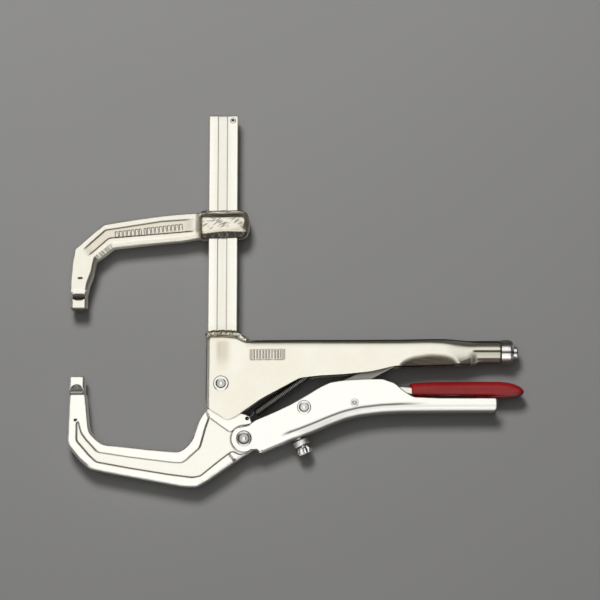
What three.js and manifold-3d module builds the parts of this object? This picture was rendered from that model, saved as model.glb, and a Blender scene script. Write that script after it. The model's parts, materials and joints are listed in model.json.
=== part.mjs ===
// Locking C clamp with a sliding arm on a flat rail: an over-centre toggle plier whose lower jaw and
// a sliding arm close on the work. Millimetres, +X along the handles away from the jaws, +Y along the
// rail towards its free end, +Z up from the surface the clamp lies on. Everything is symmetric about
// the plane z = MID, and the clamp lies on its side with its lowest faces at z = 0.
import * as THREE from "three";
import { mergeVertices } from "three/addons/utils/BufferGeometryUtils.js";
import Module from "manifold-3d";

const wasm = await Module();
wasm.setup();
const { Manifold, Mesh: SolidMesh } = wasm;

// ---------------------------------------------------------------- driving dimensions
const MID = 10.5; // height of the plane of symmetry
const GAP = 0.3; // running and fitting clearance between separate pieces
// pivots
const PIVOT_A = [-51.73, -59.47]; // lower jaw in the upper handle
const PIVOT_B = [-35.63, -97.7]; // lower handle on the lower jaw
const PIVOT_C = [6.02, -76.11]; // toggle link in the lower handle
const PIVOT_E = [41.02, -72.92]; // release lever in the lower handle
const LINK_END = [80.92, -36.67]; // rear end of the toggle link, on the adjusting spindle's axis
// rail
const RAIL_X0 = -61.18, RAIL_X1 = -40.95;
const RAIL_TOP = 132.75, RAIL_FOOT = -49.56;
const RAIL_HALF = 5; // half thickness
const RAIL_BAND = [-54.6, -48.58]; // shallow band rolled in both faces
const RAIL_BAND_DEPTH = 0.45;
const STOP_PIN = [-44.45, 129];
const STOP_PIN_R = 2.0, STOP_PIN_BORE_R = 0.9, STOP_PIN_HALF = 6.4;
// sliding arm
const ARM_HALF = 6.6; // half thickness of the forged arm
const ARM_WEB_HALF = 5.4; // half thickness at the bottom of the long panel
const SLEEVE_HALF = 10.5; // half thickness of the sleeve round the rail
const SLEEVE_CLEAR = 0.45;
const NUB_R = 5.6; // turned end of both jaws
// lower jaw
const JAW_HALF = 6.4, JAW_WEB_HALF = 4.6, JAW_LUG_HALF = 5.0;
// upper handle
const SHEET = 2.2; // pressed sheet thickness
const BODY_HALF_FRONT = 7.9, BODY_HALF = 10.5;
const TUBE_R = 8.0, TUBE_BORE_R = 6.0;
const TUBE_Y = -36.67;
const TUBE_X0 = 122.22, TUBE_X1 = 143.36;
// lower handle
const HANDLE_HALF_FRONT = 7.6, HANDLE_HALF = 8.6;
// rivets
const RIVET_SHANK_R = 3.6, RIVET_HOLE_R = 3.9;
// adjusting spindle, M8
const SPINDLE_R = 3.9, BUSH_BORE_R = 4.2, BUSH_R = 5.7;
const COLLAR_R = 8.5, STUB_R = 4.75;
const RELIEF_SLOPE = 0.46; // how far the cheeks lean in for each mm down
// pressure screw, M4 through the spine of the lower handle
const SCREW_FOOT = [1.82, -95.58]; // where its axis leaves the lower handle
const SCREW_DIR = [0.426, -0.905];
// toggle link
const LINK_HALF = 3;

// ---------------------------------------------------------------- helpers
const solid = (geometry) => {
  const g = geometry.clone();
  g.deleteAttribute("normal");
  g.deleteAttribute("uv");
  const m = mergeVertices(g, 1e-4);
  return new Manifold(
    new SolidMesh({
      numProp: 3,
      vertProperties: new Float32Array(m.attributes.position.array),
      triVerts: new Uint32Array(m.index.array),
    }),
  );
};
const shapeOf = (pts) => new THREE.Shape(pts.map(([x, y]) => new THREE.Vector2(x, y)));
// a flat outline, from z0 to z1 about the plane of symmetry, with its edges chamfered or rounded by b
const plate = (pts, z0, z1, b = 0, segments = 1) => {
  const g = new THREE.ExtrudeGeometry(shapeOf(pts), {
    depth: z1 - z0 - 2 * b,
    bevelEnabled: b > 0,
    bevelThickness: b,
    bevelSize: b,
    bevelOffset: -b,
    bevelSegments: segments,
    curveSegments: 12,
  });
  g.translate(0, 0, z0 + b);
  return solid(g);
};
const both = (pts, half, b = 0, segments = 1) => plate(pts, -half, half, b, segments);
// an outline in the X-Z plane, run along Y from y0 to y1
const alongY = (pts, y0, y1) => {
  const g = new THREE.ExtrudeGeometry(shapeOf(pts.map(([x, z]) => [x, -z])), {
    depth: y1 - y0,
    bevelEnabled: false,
  });
  g.rotateX(-Math.PI / 2); // shape (x, -z) -> world (x, depth, z)
  g.translate(0, y0, 0);
  return solid(g);
};
// a closed profile of [radius, height] turned about an axis through p along d
const turned = (profile, p, d, n = 32) => {
  const g = new THREE.LatheGeometry(
    profile.map(([r, h]) => new THREE.Vector2(r, h)),
    n,
  );
  const q = new THREE.Quaternion().setFromUnitVectors(
    new THREE.Vector3(0, 1, 0),
    new THREE.Vector3(...d).normalize(),
  );
  g.applyQuaternion(q);
  g.translate(...p);
  return solid(g);
};
const rod = (r, h0, h1, p, d, n = 32) =>
  turned([[0, h0], [r, h0], [r, h1], [0, h1]], p, d, n);
const ringPts = (c, r, n = 28, a0 = 0, a1 = 2 * Math.PI, closed = true) => {
  const out = [];
  for (let i = 0; i < n + (closed ? 0 : 1); i++) {
    const a = a0 + ((a1 - a0) * i) / n;
    out.push([c[0] + r * Math.cos(a), c[1] + r * Math.sin(a)]);
  }
  return out;
};
const hole = (c, r, half = 20, n = 28) => both(ringPts(c, r, n), half);
const box = (x0, x1, y0, y1, z0, z1) => {
  const g = new THREE.BoxGeometry(x1 - x0, y1 - y0, z1 - z0);
  g.translate((x0 + x1) / 2, (y0 + y1) / 2, (z0 + z1) / 2);
  return solid(g);
};
const clamp = new THREE.Group();
clamp.name = "locking_c_clamp";
const NICKEL = { color: 0xd9d3c2, roughness: 0.38, metalness: 1 };
const FORGED = { color: 0xd2ccb9, roughness: 0.5, metalness: 1 };
const BRIGHT = { color: 0xdedbd2, roughness: 0.22, metalness: 1 };
const DARK = { color: 0x6a675f, roughness: 0.45, metalness: 1 };
const RED = { color: 0xa5161d, roughness: 0.3, metalness: 0 };
const add = (name, s, look) => {
  const m = s.getMesh();
  const g = new THREE.BufferGeometry()
    .setAttribute("position", new THREE.BufferAttribute(new Float32Array(m.vertProperties), 3))
    .setIndex(new THREE.BufferAttribute(new Uint32Array(m.triVerts), 1));
  g.computeVertexNormals();
  const mesh = new THREE.Mesh(g, new THREE.MeshStandardMaterial(look));
  mesh.name = name;
  mesh.position.z = MID;
  clamp.add(mesh);
};

// ---------------------------------------------------------------- rail
// flat bar with a shallow band rolled along both faces, chamfered top corners
const railSection = [
  [RAIL_X0, -RAIL_HALF + 0.5], [RAIL_X0 + 0.5, -RAIL_HALF],
  [RAIL_BAND[0] - 0.3, -RAIL_HALF], [RAIL_BAND[0], -RAIL_HALF + RAIL_BAND_DEPTH],
  [RAIL_BAND[1], -RAIL_HALF + RAIL_BAND_DEPTH], [RAIL_BAND[1] + 0.3, -RAIL_HALF],
  [RAIL_X1 - 0.5, -RAIL_HALF], [RAIL_X1, -RAIL_HALF + 0.5],
  [RAIL_X1, RAIL_HALF - 0.5], [RAIL_X1 - 0.5, RAIL_HALF],
  [RAIL_BAND[1] + 0.3, RAIL_HALF], [RAIL_BAND[1], RAIL_HALF - RAIL_BAND_DEPTH],
  [RAIL_BAND[0], RAIL_HALF - RAIL_BAND_DEPTH], [RAIL_BAND[0] - 0.3, RAIL_HALF],
  [RAIL_X0 + 0.5, RAIL_HALF], [RAIL_X0, RAIL_HALF - 0.5],
];
add(
  "rail",
  alongY(railSection, RAIL_FOOT, RAIL_TOP).subtract(hole(STOP_PIN, STOP_PIN_R + 0.2)),
  BRIGHT,
);
add(
  "rail_stop_pin",
  turned(
    [
      [STOP_PIN_BORE_R, -STOP_PIN_HALF], [STOP_PIN_R - 0.35, -STOP_PIN_HALF],
      [STOP_PIN_R, -STOP_PIN_HALF + 0.35], [STOP_PIN_R, STOP_PIN_HALF - 0.35],
      [STOP_PIN_R - 0.35, STOP_PIN_HALF], [STOP_PIN_BORE_R, STOP_PIN_HALF],
      [STOP_PIN_BORE_R, -STOP_PIN_HALF],
    ],
    [...STOP_PIN, 0],
    [0, 0, 1],
    20,
  ),
  BRIGHT,
);

// ---------------------------------------------------------------- sliding arm
// forged arm with a long shallow panel on both faces, its sleeve round the rail, and a turned nub
const armOutline = [
[-62.58, 61.6], [-69.58, 61.38], [-80.78, 60.89], [-94.78, 59.12], [-108.78, 56.99], [-122.78, 54.87], [-134.68, 52.39], [-143.78, 44.6], [-150.78, 37.88], [-154.63, 34.69], [-155.82, 26.2], [-156.94, 13.45], [-157.15, 3.89], [-146.02, 3.89], [-145.18, 9.2], [-142.38, 16.99], [-140.28, 27.26], [-128.03, 37.17], [-121.38, 37.88], [-108.78, 39.29], [-94.78, 40.5], [-80.78, 41.77], [-66.78, 44.18], [-62.58, 44.46],
];
const armPanel = [
[-76.58, 56.92], [-94.78, 55.01], [-122.78, 50.41], [-133.28, 48.64], [-149.73, 33.28], [-145.53, 28.6], [-137.83, 35.68], [-130.83, 42.34], [-101.78, 45.1], [-75.88, 47.22],
];
const sleeveOutline = [
[-66.78, 63.37], [-36.68, 63.37], [-33.53, 60.53], [-32.27, 55.93], [-32.27, 51.68], [-33.88, 47.79], [-36.68, 44.6], [-66.78, 44.04], [-67.34, 48.85], [-67.34, 60.18],
];
let arm = both(armOutline, ARM_HALF, 1.1)
  .subtract(plate(armPanel, ARM_WEB_HALF, 12))
  .subtract(plate(armPanel, -12, -ARM_WEB_HALF));
arm = arm.add(both(sleeveOutline, SLEEVE_HALF, 2.6, 3));
arm = arm.add(
  turned(
    [
      [0, -4], [5.6, -4], [5.9, 0.2], [NUB_R, 2], [NUB_R, 9.7], [NUB_R - 0.8, 10.6], [0, 10.6],
    ],
    [-151.76, 3.54, 0],
    [0, -1, 0],
    28,
  ),
);
arm = arm
  .subtract(
    box(RAIL_X0 - SLEEVE_CLEAR, RAIL_X1 + SLEEVE_CLEAR, 34.69, 70.09,
      -RAIL_HALF - SLEEVE_CLEAR, RAIL_HALF + SLEEVE_CLEAR),
  )
  .subtract(rod(1.2, -0.9, 2, [-150.36, 14.37, ARM_HALF], [0, 0, 1], 12));
add("sliding_arm", arm, FORGED);

// ---------------------------------------------------------------- lower jaw
const jawOutline = [
[-158.06, -66.2], [-158.76, -69.38], [-159.67, -99.83], [-158.76, -104.08], [-150.78, -114.34], [-145.18, -120.57], [-129.78, -124.11], [-101.78, -128.57], [-77.28, -132.25], [-68.88, -132.75], [-59.78, -128.86], [-45.78, -119.16], [-36.68, -112.29], [-31.78, -109.17], [-27.58, -104.43], [-25.48, -98.41], [-26.18, -91.33], [-29.68, -86.73], [-31.08, -82.48], [-34.23, -80.36], [-38.08, -79.3], [-40.88, -74.34], [-43.68, -65.84], [-44.03, -59.47], [-47.18, -53.81], [-51.73, -51.68], [-56.28, -53.81], [-59.22, -59.47], [-59.78, -67.97], [-60.27, -75.76], [-66.08, -83.19], [-68.18, -86.38], [-70.28, -92.75], [-72.03, -99.12], [-73.78, -101.95], [-77.98, -106.41], [-82.18, -108.68], [-101.78, -106.91], [-115.78, -105.14], [-133.98, -103.37], [-137.48, -101.24], [-142.73, -95.58], [-143.78, -92.04], [-144.48, -85.67], [-145.88, -71.51], [-146.37, -66.2],
];
const jawPanel = [
[-153.16, -88.5], [-153.02, -100.75], [-143.78, -111.37], [-138.88, -115.62], [-115.78, -119.86], [-87.78, -124.47], [-73.78, -126.24], [-65.38, -124.47], [-52.78, -114.91], [-43.68, -107.97], [-38.78, -110.8], [-34.58, -109.03], [-23.38, -106.91], [-23.38, -85.67], [-38.78, -88.5], [-45.08, -93.46], [-52.78, -88.64], [-60.48, -84.11], [-63.28, -91.33], [-66.78, -105.49], [-77.98, -114.7], [-80.78, -115.55], [-87.78, -115.19], [-115.78, -112.01], [-137.48, -108.82], [-145.88, -100.04], [-149.38, -95.08], [-151.34, -86.73],
];
// where the jaw runs between the cheeks of both handles it is a plain lug
const jawLugZone = [[-62.58, -77.17], [-59.08, -84.96], [-45.08, -94.52], [-46.48, -108.32], [-36.68, -118.24], [-7.28, -128.15], [-7.28, -43.19], [-64.68, -43.19]];
const jawLug = [...ringPts(PIVOT_B, 8.6, 24)];
let jaw = both(jawOutline, JAW_HALF, 1.1)
  .subtract(plate(jawPanel, JAW_WEB_HALF, 12))
  .subtract(plate(jawPanel, -12, -JAW_WEB_HALF))
  .subtract(plate(jawLugZone, JAW_LUG_HALF, 12))
  .subtract(plate(jawLugZone, -12, -JAW_LUG_HALF))
  .add(both(jawLug, JAW_LUG_HALF));
jaw = jaw.add(
  turned(
    [[0, -4], [5.6, -4], [5.9, 0.2], [NUB_R, 3], [NUB_R, 11.2], [NUB_R - 0.8, 12], [0, 12]],
    [-152.67, -66.27, 0],
    [0, 1, 0],
    28,
  ),
);
jaw = jaw
  .subtract(hole(PIVOT_A, RIVET_HOLE_R))
  .subtract(hole(PIVOT_B, RIVET_HOLE_R))
  .subtract(hole([-33.46, -83.54], 1.2, 20, 14))
  .subtract(hole([-153.02, -85.46], 0.9, 20, 12).intersect(box(-300, 300, -300, 300, 5.6, 12)));
add("lower_jaw", jaw, FORGED);

// ---------------------------------------------------------------- upper handle
// one pressed sheet: a spine along the top, two cheeks open downwards, swaged to a tube at the rear
const bodyTop = [
[-62.58, -26.55], [-58.38, -25.13], [-41.58, -25.49], [-36.68, -28.32], [-30.38, -28.74], [3.22, -28.74], [73.22, -28.6], [94.22, -27.9], [108.22, -27.75], [116.62, -28.32], [125.02, -29.17],
];
const bodyLow = [
[125.02, -44.18], [116.62, -45.6], [104.72, -46.37], [87.22, -46.87], [69.72, -47.44], [52.92, -51.33], [34.72, -53.24], [17.22, -54.23], [3.22, -55.93], [-23.38, -70.09], [-36.68, -78.94], [-42.28, -83.19], [-46.48, -84.61], [-48.58, -84.25], [-52.78, -81.99], [-57.68, -78.8], [-61.88, -76.82],
];
const bodyOutline = [...bodyTop, ...bodyLow];
// the same outline, left long at the open side, so that only the spine's edges are rounded
const bodyBlank = [...bodyTop, ...[[125.02, -60.89], [69.72, -71.51], [-23.38, -92.75], [-62.58, -99.83]]];
// plan view of half the width, along the handle
const bodyPlan = (grow) => {
  const up = [
    [-62.58 - 1, BODY_HALF_FRONT], [-40.18, BODY_HALF_FRONT + 0.1], [-23.38, BODY_HALF - 0.9],
    [-3.78, BODY_HALF], [90.72, BODY_HALF], [111.72, 8.9], [126.42, TUBE_R],
  ].map(([x, w]) => [x, w + grow]);
  return [...up, ...up.map(([x, w]) => [x, -w]).reverse()];
};
const shrink = (pts, d) => pts.map(([x, y]) => [x, y - d]);
const spineSection = (half, top, r) => {
  const pts = [[-half, -140], [half, -140]];
  for (let i = 0; i <= 4; i++) {
    const a = (Math.PI / 2) * (i / 4);
    pts.push([half - r + r * Math.cos(a), top - r + r * Math.sin(a)]);
  }
  for (let i = 4; i >= 0; i--) {
    const a = (Math.PI / 2) * (i / 4);
    pts.push([-half + r - r * Math.cos(a), top - r + r * Math.sin(a)]);
  }
  return pts;
};
// an outline in the Z-Y plane, run along X from x0 to x1
const alongX = (pts, x0, x1) => {
  const g = new THREE.ExtrudeGeometry(shapeOf(pts.map(([z, y]) => [-z, y])), { depth: x1 - x0, bevelEnabled: false });
  g.rotateY(Math.PI / 2);
  g.translate(x0, 0, 0);
  return solid(g);
};
let body = both(bodyBlank, BODY_HALF)
  .intersect(alongX(spineSection(BODY_HALF, -27.75, 4.6), -100, 200))
  .intersect(alongY(bodyPlan(0), -140, 20))
  .intersect(both(bodyOutline, 20));
body = body.add(rod(TUBE_R, TUBE_X0, TUBE_X1, [0, TUBE_Y, 0], [1, 0, 0], 40));
const cavityTop = shrink([[-62.58, -26.55], [-41.58, -27.26], [-34.58, -29.03], [73.22, -28.89], [108.22, -28.32], [116.62, -30.09]], SHEET);
const cavity = both(
  [[-62.58 + SHEET, cavityTop[0][1]], ...cavityTop.slice(1), ...[[116.62, -60.89], [69.72, -85.67], [-23.38, -106.91]], [-62.58 + SHEET, -106.91]],
  BODY_HALF,
).intersect(alongY(bodyPlan(-SHEET), -160, 20));
// finger relief at the rear: both cheeks lean inwards under an arch
const reliefArch = [[70.42, -53.1], [71.47, -47.44], [72.87, -44.46], [76.02, -41.77], [81.62, -39.65], [94.22, -37.95], [104.02, -38.52], [109.62, -40.07], [113.12, -42.48], [115.92, -47.44], [115.92, -53.1]];
const relief = (s, inwards) => {
  const y0 = -37.81, y1 = -52.75;
  const z0 = BODY_HALF - inwards, z1 = z0 - (y0 - y1) * RELIEF_SLOPE;
  const side = s > 0 ? [[z1, y1], [20, y1], [20, y0], [z0, y0]] : [[-20, y1], [-z1, y1], [-z0, y0], [-20, y0]];
  return both(reliefArch, 20).intersect(alongX(side, 66.22, 119.42));
};
body = body
  .subtract(relief(1, 0)).subtract(relief(-1, 0))
  .subtract(cavity.subtract(relief(1, SHEET)).subtract(relief(-1, SHEET)))
  .subtract(rod(TUBE_BORE_R, 111.72, TUBE_X1 + 1, [0, TUBE_Y, 0], [1, 0, 0], 32))
  // mouth for the rail, and the open front below it
  .subtract(box(RAIL_X0 - GAP, RAIL_X1 + GAP, -51.68, -18.41, -RAIL_HALF - GAP, RAIL_HALF + GAP))
  .subtract(box(-66.78, -58.38, -92.75, -70.8, -JAW_LUG_HALF - 0.7, JAW_LUG_HALF + 0.7))
  .subtract(hole(PIVOT_A, RIVET_HOLE_R));
const ANCHOR = [29.82, -37.52];
// shallow stamped frame on both cheeks, with plain ribs
for (const s of [1, -1]) {
  for (let i = 0; i < 9; i++) {
    const x = -30.38 + i * 2.8;
    body = body.subtract(
      box(x, x + 1.3, -42.13, -36.82, s > 0 ? BODY_HALF - 1.0 : -12, s > 0 ? 12 : -BODY_HALF + 1.0),
    );
  }
}
add("upper_handle_shell", body, NICKEL);

// weld bead round the rail where it enters the upper handle
let bead = both([[-61.95, -32.57], [-61.95, -24.43], [-60.48, -22.66], [-57.68, -21.81], [-44.38, -21.88], [-39.76, -22.94], [-36.68, -25.77], [-32.83, -29.38], [-32.83, -32.57]], 7.2, 1.0)
  .subtract(box(RAIL_X0 - GAP, RAIL_X1 + GAP, -32.57, -14.87, -RAIL_HALF - GAP, RAIL_HALF + GAP));
bead = bead.subtract(both(bodyBlank.map(([x, y]) => [x, y + 0.35]), 20));
add("rail_weld_bead", bead, NICKEL);

// ---------------------------------------------------------------- rivets
// formed head at both ends, the head dished in the middle
const rivet = (c, half, headR, headH, shankR, n = 36) =>
  turned(
    [
      [0, -half - headH * 0.62], [headR * 0.3, -half - headH * 0.62], [headR * 0.44, -half - headH],
      [headR * 0.72, -half - headH * 0.94], [headR * 0.95, -half - headH * 0.5], [headR, -half - 0.25],
      [headR, -half], [shankR, -half],
      [shankR, half], [headR, half], [headR, half + 0.25], [headR * 0.95, half + headH * 0.5],
      [headR * 0.72, half + headH * 0.94], [headR * 0.44, half + headH],
      [headR * 0.3, half + headH * 0.62], [0, half + headH * 0.62],
    ],
    [...c, 0],
    [0, 0, 1],
    n,
  );
add("jaw_pivot_rivet", rivet(PIVOT_A, BODY_HALF_FRONT + GAP, 5.4, 1.7, RIVET_SHANK_R), BRIGHT);
add("handle_pivot_rivet", rivet(PIVOT_B, HANDLE_HALF_FRONT + GAP, 5.5, 2.2, RIVET_SHANK_R), BRIGHT);
add("link_rivet", rivet(PIVOT_C, HANDLE_HALF + GAP, 4.9, 1.4, 3.0), BRIGHT);
add("release_lever_rivet", rivet(PIVOT_E, HANDLE_HALF + GAP, 2.7, 0.9, 1.7, 24), BRIGHT);
add(
  "spring_anchor_lug",
  both([[ANCHOR[0] - 4, -28.74 - SHEET - 0.5], [ANCHOR[0] - 4, ANCHOR[1] - 1.5], [ANCHOR[0] - 1.5, ANCHOR[1] - 4], [ANCHOR[0] + 2.5, ANCHOR[1] - 4],
    [ANCHOR[0] + 5, ANCHOR[1] + 1], [ANCHOR[0] + 7, -28.74 - SHEET - 0.5]].reverse(), 1.5).subtract(hole(ANCHOR, 1.3, 20, 14)),
  DARK,
);

// ---------------------------------------------------------------- lower handle
// one pressed sheet: cheeks towards the upper handle, spine outside, no spine round the jaw's lug
const handleTop = [
[-32.83, -88.92], [-28.28, -85.24], [-13.58, -78.94], [-3.78, -74.34], [3.22, -70.45], [10.22, -66.2], [17.22, -61.95], [24.22, -58.55], [34.72, -57.06], [48.72, -56.36], [60.62, -56.22], [69.02, -59.12], [76.02, -65.14], [82.32, -68.89], [101.22, -69.6], [139.02, -69.6],
];
const handleSpine = [
[139.02, -75.05], [136.92, -78.45], [73.22, -78.73], [59.22, -79.15], [45.22, -80.57], [34.72, -82.84], [17.22, -89.21], [3.22, -95.01], [0.42, -97], [-10.78, -100.96], [-22.68, -106.91],
];
const frontRing = ringPts(PIVOT_B, 9.2, 12, Math.PI * 1.72, Math.PI * 0.7, false);
const handleOutline = [...handleTop, ...handleSpine, [-26.18, -104.22], [-31.08, -105], ...frontRing];
const handlePlan = (grow) => {
  const up = [
    [-47.18, HANDLE_HALF_FRONT], [-23.38, HANDLE_HALF_FRONT], [-2.38, HANDLE_HALF],
    [73.22, HANDLE_HALF], [140.42, HANDLE_HALF],
  ].map(([x, w]) => [x, w + grow]);
  return [...up, ...up.map(([x, w]) => [x, -w]).reverse()];
};
const handleBlank = [
[-49.28, -71.51], [-13.58, -57.35], [24.22, -43.19], [73.22, -43.19], [139.72, -57.35], [139.02, -75.76], [136.57, -78.45], [73.22, -78.73], [59.22, -79.15], [45.22, -80.57], [34.72, -82.84], [17.22, -89.21], [3.22, -95.01], [0.42, -97], [-10.78, -100.96], [-22.68, -106.91], [-49.28, -118.24],
];
const handleInner = [
[-23.24, -102.31], [-10.78, -98.13], [0.42, -94.16], [3.22, -92.32], [17.22, -86.59], [34.72, -80.29], [45.22, -78.09], [59.22, -76.75], [73.22, -76.39], [143.22, -76.25], [143.22, -36.11], [24.22, -36.11], [-23.24, -57.35],
];
let handle = both(handleBlank, HANDLE_HALF, 2.2, 3)
  .intersect(alongY(handlePlan(0), -160, 20))
  .intersect(both(handleOutline, 20));
handle = handle
  .subtract(both(handleInner, 20).intersect(alongY(handlePlan(-SHEET), -160, 20)))
  .subtract(box(-66.78, -23.17, -128.15, -57.35, -HANDLE_HALF_FRONT + SHEET, HANDLE_HALF_FRONT - SHEET))
  .subtract(hole(PIVOT_B, RIVET_HOLE_R))
  .subtract(hole(PIVOT_C, 3.3))
  .subtract(hole(PIVOT_E, 2.0, 20, 20))
  .subtract(rod(3.3, -12, 4, [...SCREW_FOOT, 0], [...SCREW_DIR, 0], 24));
add("lower_handle_shell", handle, NICKEL);

// ---------------------------------------------------------------- toggle link
const linkDir = new THREE.Vector2(LINK_END[0] - PIVOT_C[0], LINK_END[1] - PIVOT_C[1]).normalize();
const linkAngle = Math.atan2(linkDir.y, linkDir.x);
const along = (u, v) => [PIVOT_C[0] + linkDir.x * u - linkDir.y * v, PIVOT_C[1] + linkDir.y * u + linkDir.x * v];
const linkOutline = [
  ...ringPts(LINK_END, 4, 8, linkAngle - Math.PI / 2, linkAngle + Math.PI / 2, false),
  along(9, 5.3), along(4, 6), along(-2.6, 6), along(-6.2, 4), along(-7.6, 0), along(-6.2, -4),
  along(-2.6, -6), along(4, -6), along(9, -5.3),
];
add(
  "toggle_link",
  both(linkOutline, LINK_HALF, 0.6).subtract(hole(PIVOT_C, 3.3)),
  DARK,
);

// ---------------------------------------------------------------- release lever
// flat steel lever between the cheeks, with a dip-coated grip on its tail
const leverOutline = [
[29.82, -69.81], [36.12, -68.82], [39.62, -65.49], [46.62, -61.95], [62.72, -60.6], [73.22, -60.75], [87.22, -62.02], [108.22, -62.87], [146.02, -62.73], [148.82, -65.14], [146.02, -67.54], [108.22, -68.25], [87.22, -67.68], [74.62, -66.76], [64.82, -67.68], [55.02, -71.86], [46.62, -74.55], [42.42, -76.89], [38.22, -76.89], [35.42, -74.48], [29.82, -72.92],
];
add("release_lever", both(leverOutline, 4.2, 0.6).subtract(hole(PIVOT_E, 2.0, 20, 20)), NICKEL);
const gripOutline = [
[79.52, -58.91], [94.22, -57.99], [141.82, -57.63], [150.22, -58.48], [155.82, -60.6], [158.9, -63.15], [159.67, -65.14], [157.92, -67.4], [153.72, -68.82], [141.82, -69.1], [83.02, -68.61], [79.52, -68.11],
];
const gripSection = [];
for (let i = 0; i < 28; i++) {
  const a = (2 * Math.PI * i) / 28, c = Math.cos(a), q = Math.sin(a);
  gripSection.push([6.05 * Math.sign(c) * Math.abs(c) ** 0.75, -63.37 + 5.8 * Math.sign(q) * Math.abs(q) ** 0.75]);
}
add(
  "release_lever_grip",
  both(gripOutline, 6.05).intersect(alongX(gripSection, 60, 200)).subtract(
    both([[73.22, -60.32], [87.22, -61.67], [108.22, -62.52], [146.02, -62.37], [149.24, -65.14], [146.02, -67.9], [108.22, -68.53], [87.22, -68.04], [73.22, -67.12]].map(([x, y]) => [x, y]), 4.5),
  ),
  RED,
);

// ---------------------------------------------------------------- adjusting spindle
add(
  "spindle_bush",
  turned([[BUSH_BORE_R, 126.42], [BUSH_R, 126.42], [BUSH_R, TUBE_X1 - 0.6], [BUSH_BORE_R, TUBE_X1 - 0.6], [BUSH_BORE_R, 126.42]],
    [0, TUBE_Y, 0], [1, 0, 0], 32),
  BRIGHT,
);
const CAP_FACE = LINK_END[0] + 4 + 3.0; // free play between link end and thrust cap
add(
  "adjusting_thrust_cap",
  turned([[0, CAP_FACE], [3.6, CAP_FACE], [4.4, CAP_FACE + 0.8], [4.4, CAP_FACE + 5], [2.9, CAP_FACE + 5], [2.9, CAP_FACE + 2.2], [0, CAP_FACE + 2.2]],
    [0, TUBE_Y, 0], [1, 0, 0], 28),
  DARK,
);
add(
  "adjusting_spindle",
  turned(
    [
      [0, CAP_FACE + 2.5], [2.5, CAP_FACE + 2.5], [2.5, CAP_FACE + 5.4], [SPINDLE_R - 0.5, CAP_FACE + 5.4],
      [SPINDLE_R, CAP_FACE + 6], [SPINDLE_R, 143.71], [COLLAR_R - 0.5, 143.71], [COLLAR_R, 144.2],
      [COLLAR_R, 151.06], [COLLAR_R - 1, 152.32], [STUB_R, 152.32], [STUB_R, 154.84], [STUB_R - 0.6, 155.47],
      [0, 155.47],
    ],
    [0, TUBE_Y, 0], [1, 0, 0], 36,
  ),
  BRIGHT,
);

// ---------------------------------------------------------------- pressure screw
// threaded bush set in the spine, lock nut outside it, screw with a round knurled head, and the screw's foot inside
const sp = [...SCREW_FOOT, 0], sd = [...SCREW_DIR, 0];
add(
  "pressure_screw_bush",
  turned([[2.2, -2.6], [3.0, -2.6], [3.0, 1.3], [3.9, 1.3], [3.9, 2.3], [2.2, 2.3], [2.2, -2.6]], sp, sd, 24),
  BRIGHT,
);
const knurl = (r, n, depth) => {
  const out = [];
  for (let i = 0; i < n; i++) {
    const a = (2 * Math.PI * i) / n;
    out.push([r * Math.cos(a), r * Math.sin(a)]);
    out.push([(r - depth) * Math.cos(a + Math.PI / n), (r - depth) * Math.sin(a + Math.PI / n)]);
  }
  return out;
};
const onScrew = (pts, h0, h1, b) => {
  const g = new THREE.ExtrudeGeometry(shapeOf(pts), {
    depth: h1 - h0 - 2 * b, bevelEnabled: true, bevelThickness: b, bevelSize: b, bevelOffset: -b, bevelSegments: 1,
  });
  g.translate(0, 0, h0 + b);
  g.applyQuaternion(new THREE.Quaternion().setFromUnitVectors(new THREE.Vector3(0, 0, 1), new THREE.Vector3(...sd).normalize()));
  g.translate(...sp);
  return solid(g);
};
add(
  "pressure_lock_nut",
  onScrew(knurl(5.5, 18, 0.14), 3.1, 7.2, 0.35).subtract(rod(2.2, -2, 12, sp, sd, 24)),
  BRIGHT,
);
add(
  "pressure_screw",
  onScrew(knurl(5.6, 8, 1.0), 8.2, 13.4, 0.5).add(rod(1.9, -7.3, 9, sp, sd, 24)),
  BRIGHT,
);
add(
  "pressure_pin",
  turned([[0, -9.6], [2.0, -9.6], [2.9, -8.7], [2.9, -5.2], [2.2, -5.2], [2.2, -7.6], [0, -7.6]], sp, sd, 24),
  DARK,
);

// ---------------------------------------------------------------- jaw return spring
// close-wound extension spring between the jaw's ear and the anchor pin: its envelope as one rod
{
  const p = new THREE.Vector3(...[-33.46, -83.54], 0), q = new THREE.Vector3(...ANCHOR, 0);
  const d = q.clone().sub(p).normalize(), L = p.distanceTo(q);
  add(
    "jaw_spring",
    rod(2.9, 7.5, L - 6, p.toArray(), d.toArray(), 20)
      .add(rod(0.7, 4.6, 8, p.toArray(), d.toArray(), 10))
      .add(rod(0.7, L - 7, L - 4.9, p.toArray(), d.toArray(), 10)),
    DARK,
  );
}

export default clamp;
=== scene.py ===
"""Visible model of a locking C clamp with a sliding arm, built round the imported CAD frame.

Lengths in this file are millimetres in the row frame, with heights counted from the plane of
symmetry, and go to metres when a mesh is made. Forged and pressed pieces are meshed from
distance fields, turned and threaded pieces from swept profiles."""

import json
import math

import bpy
import numpy as np
from mathutils import Matrix, Vector


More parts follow.
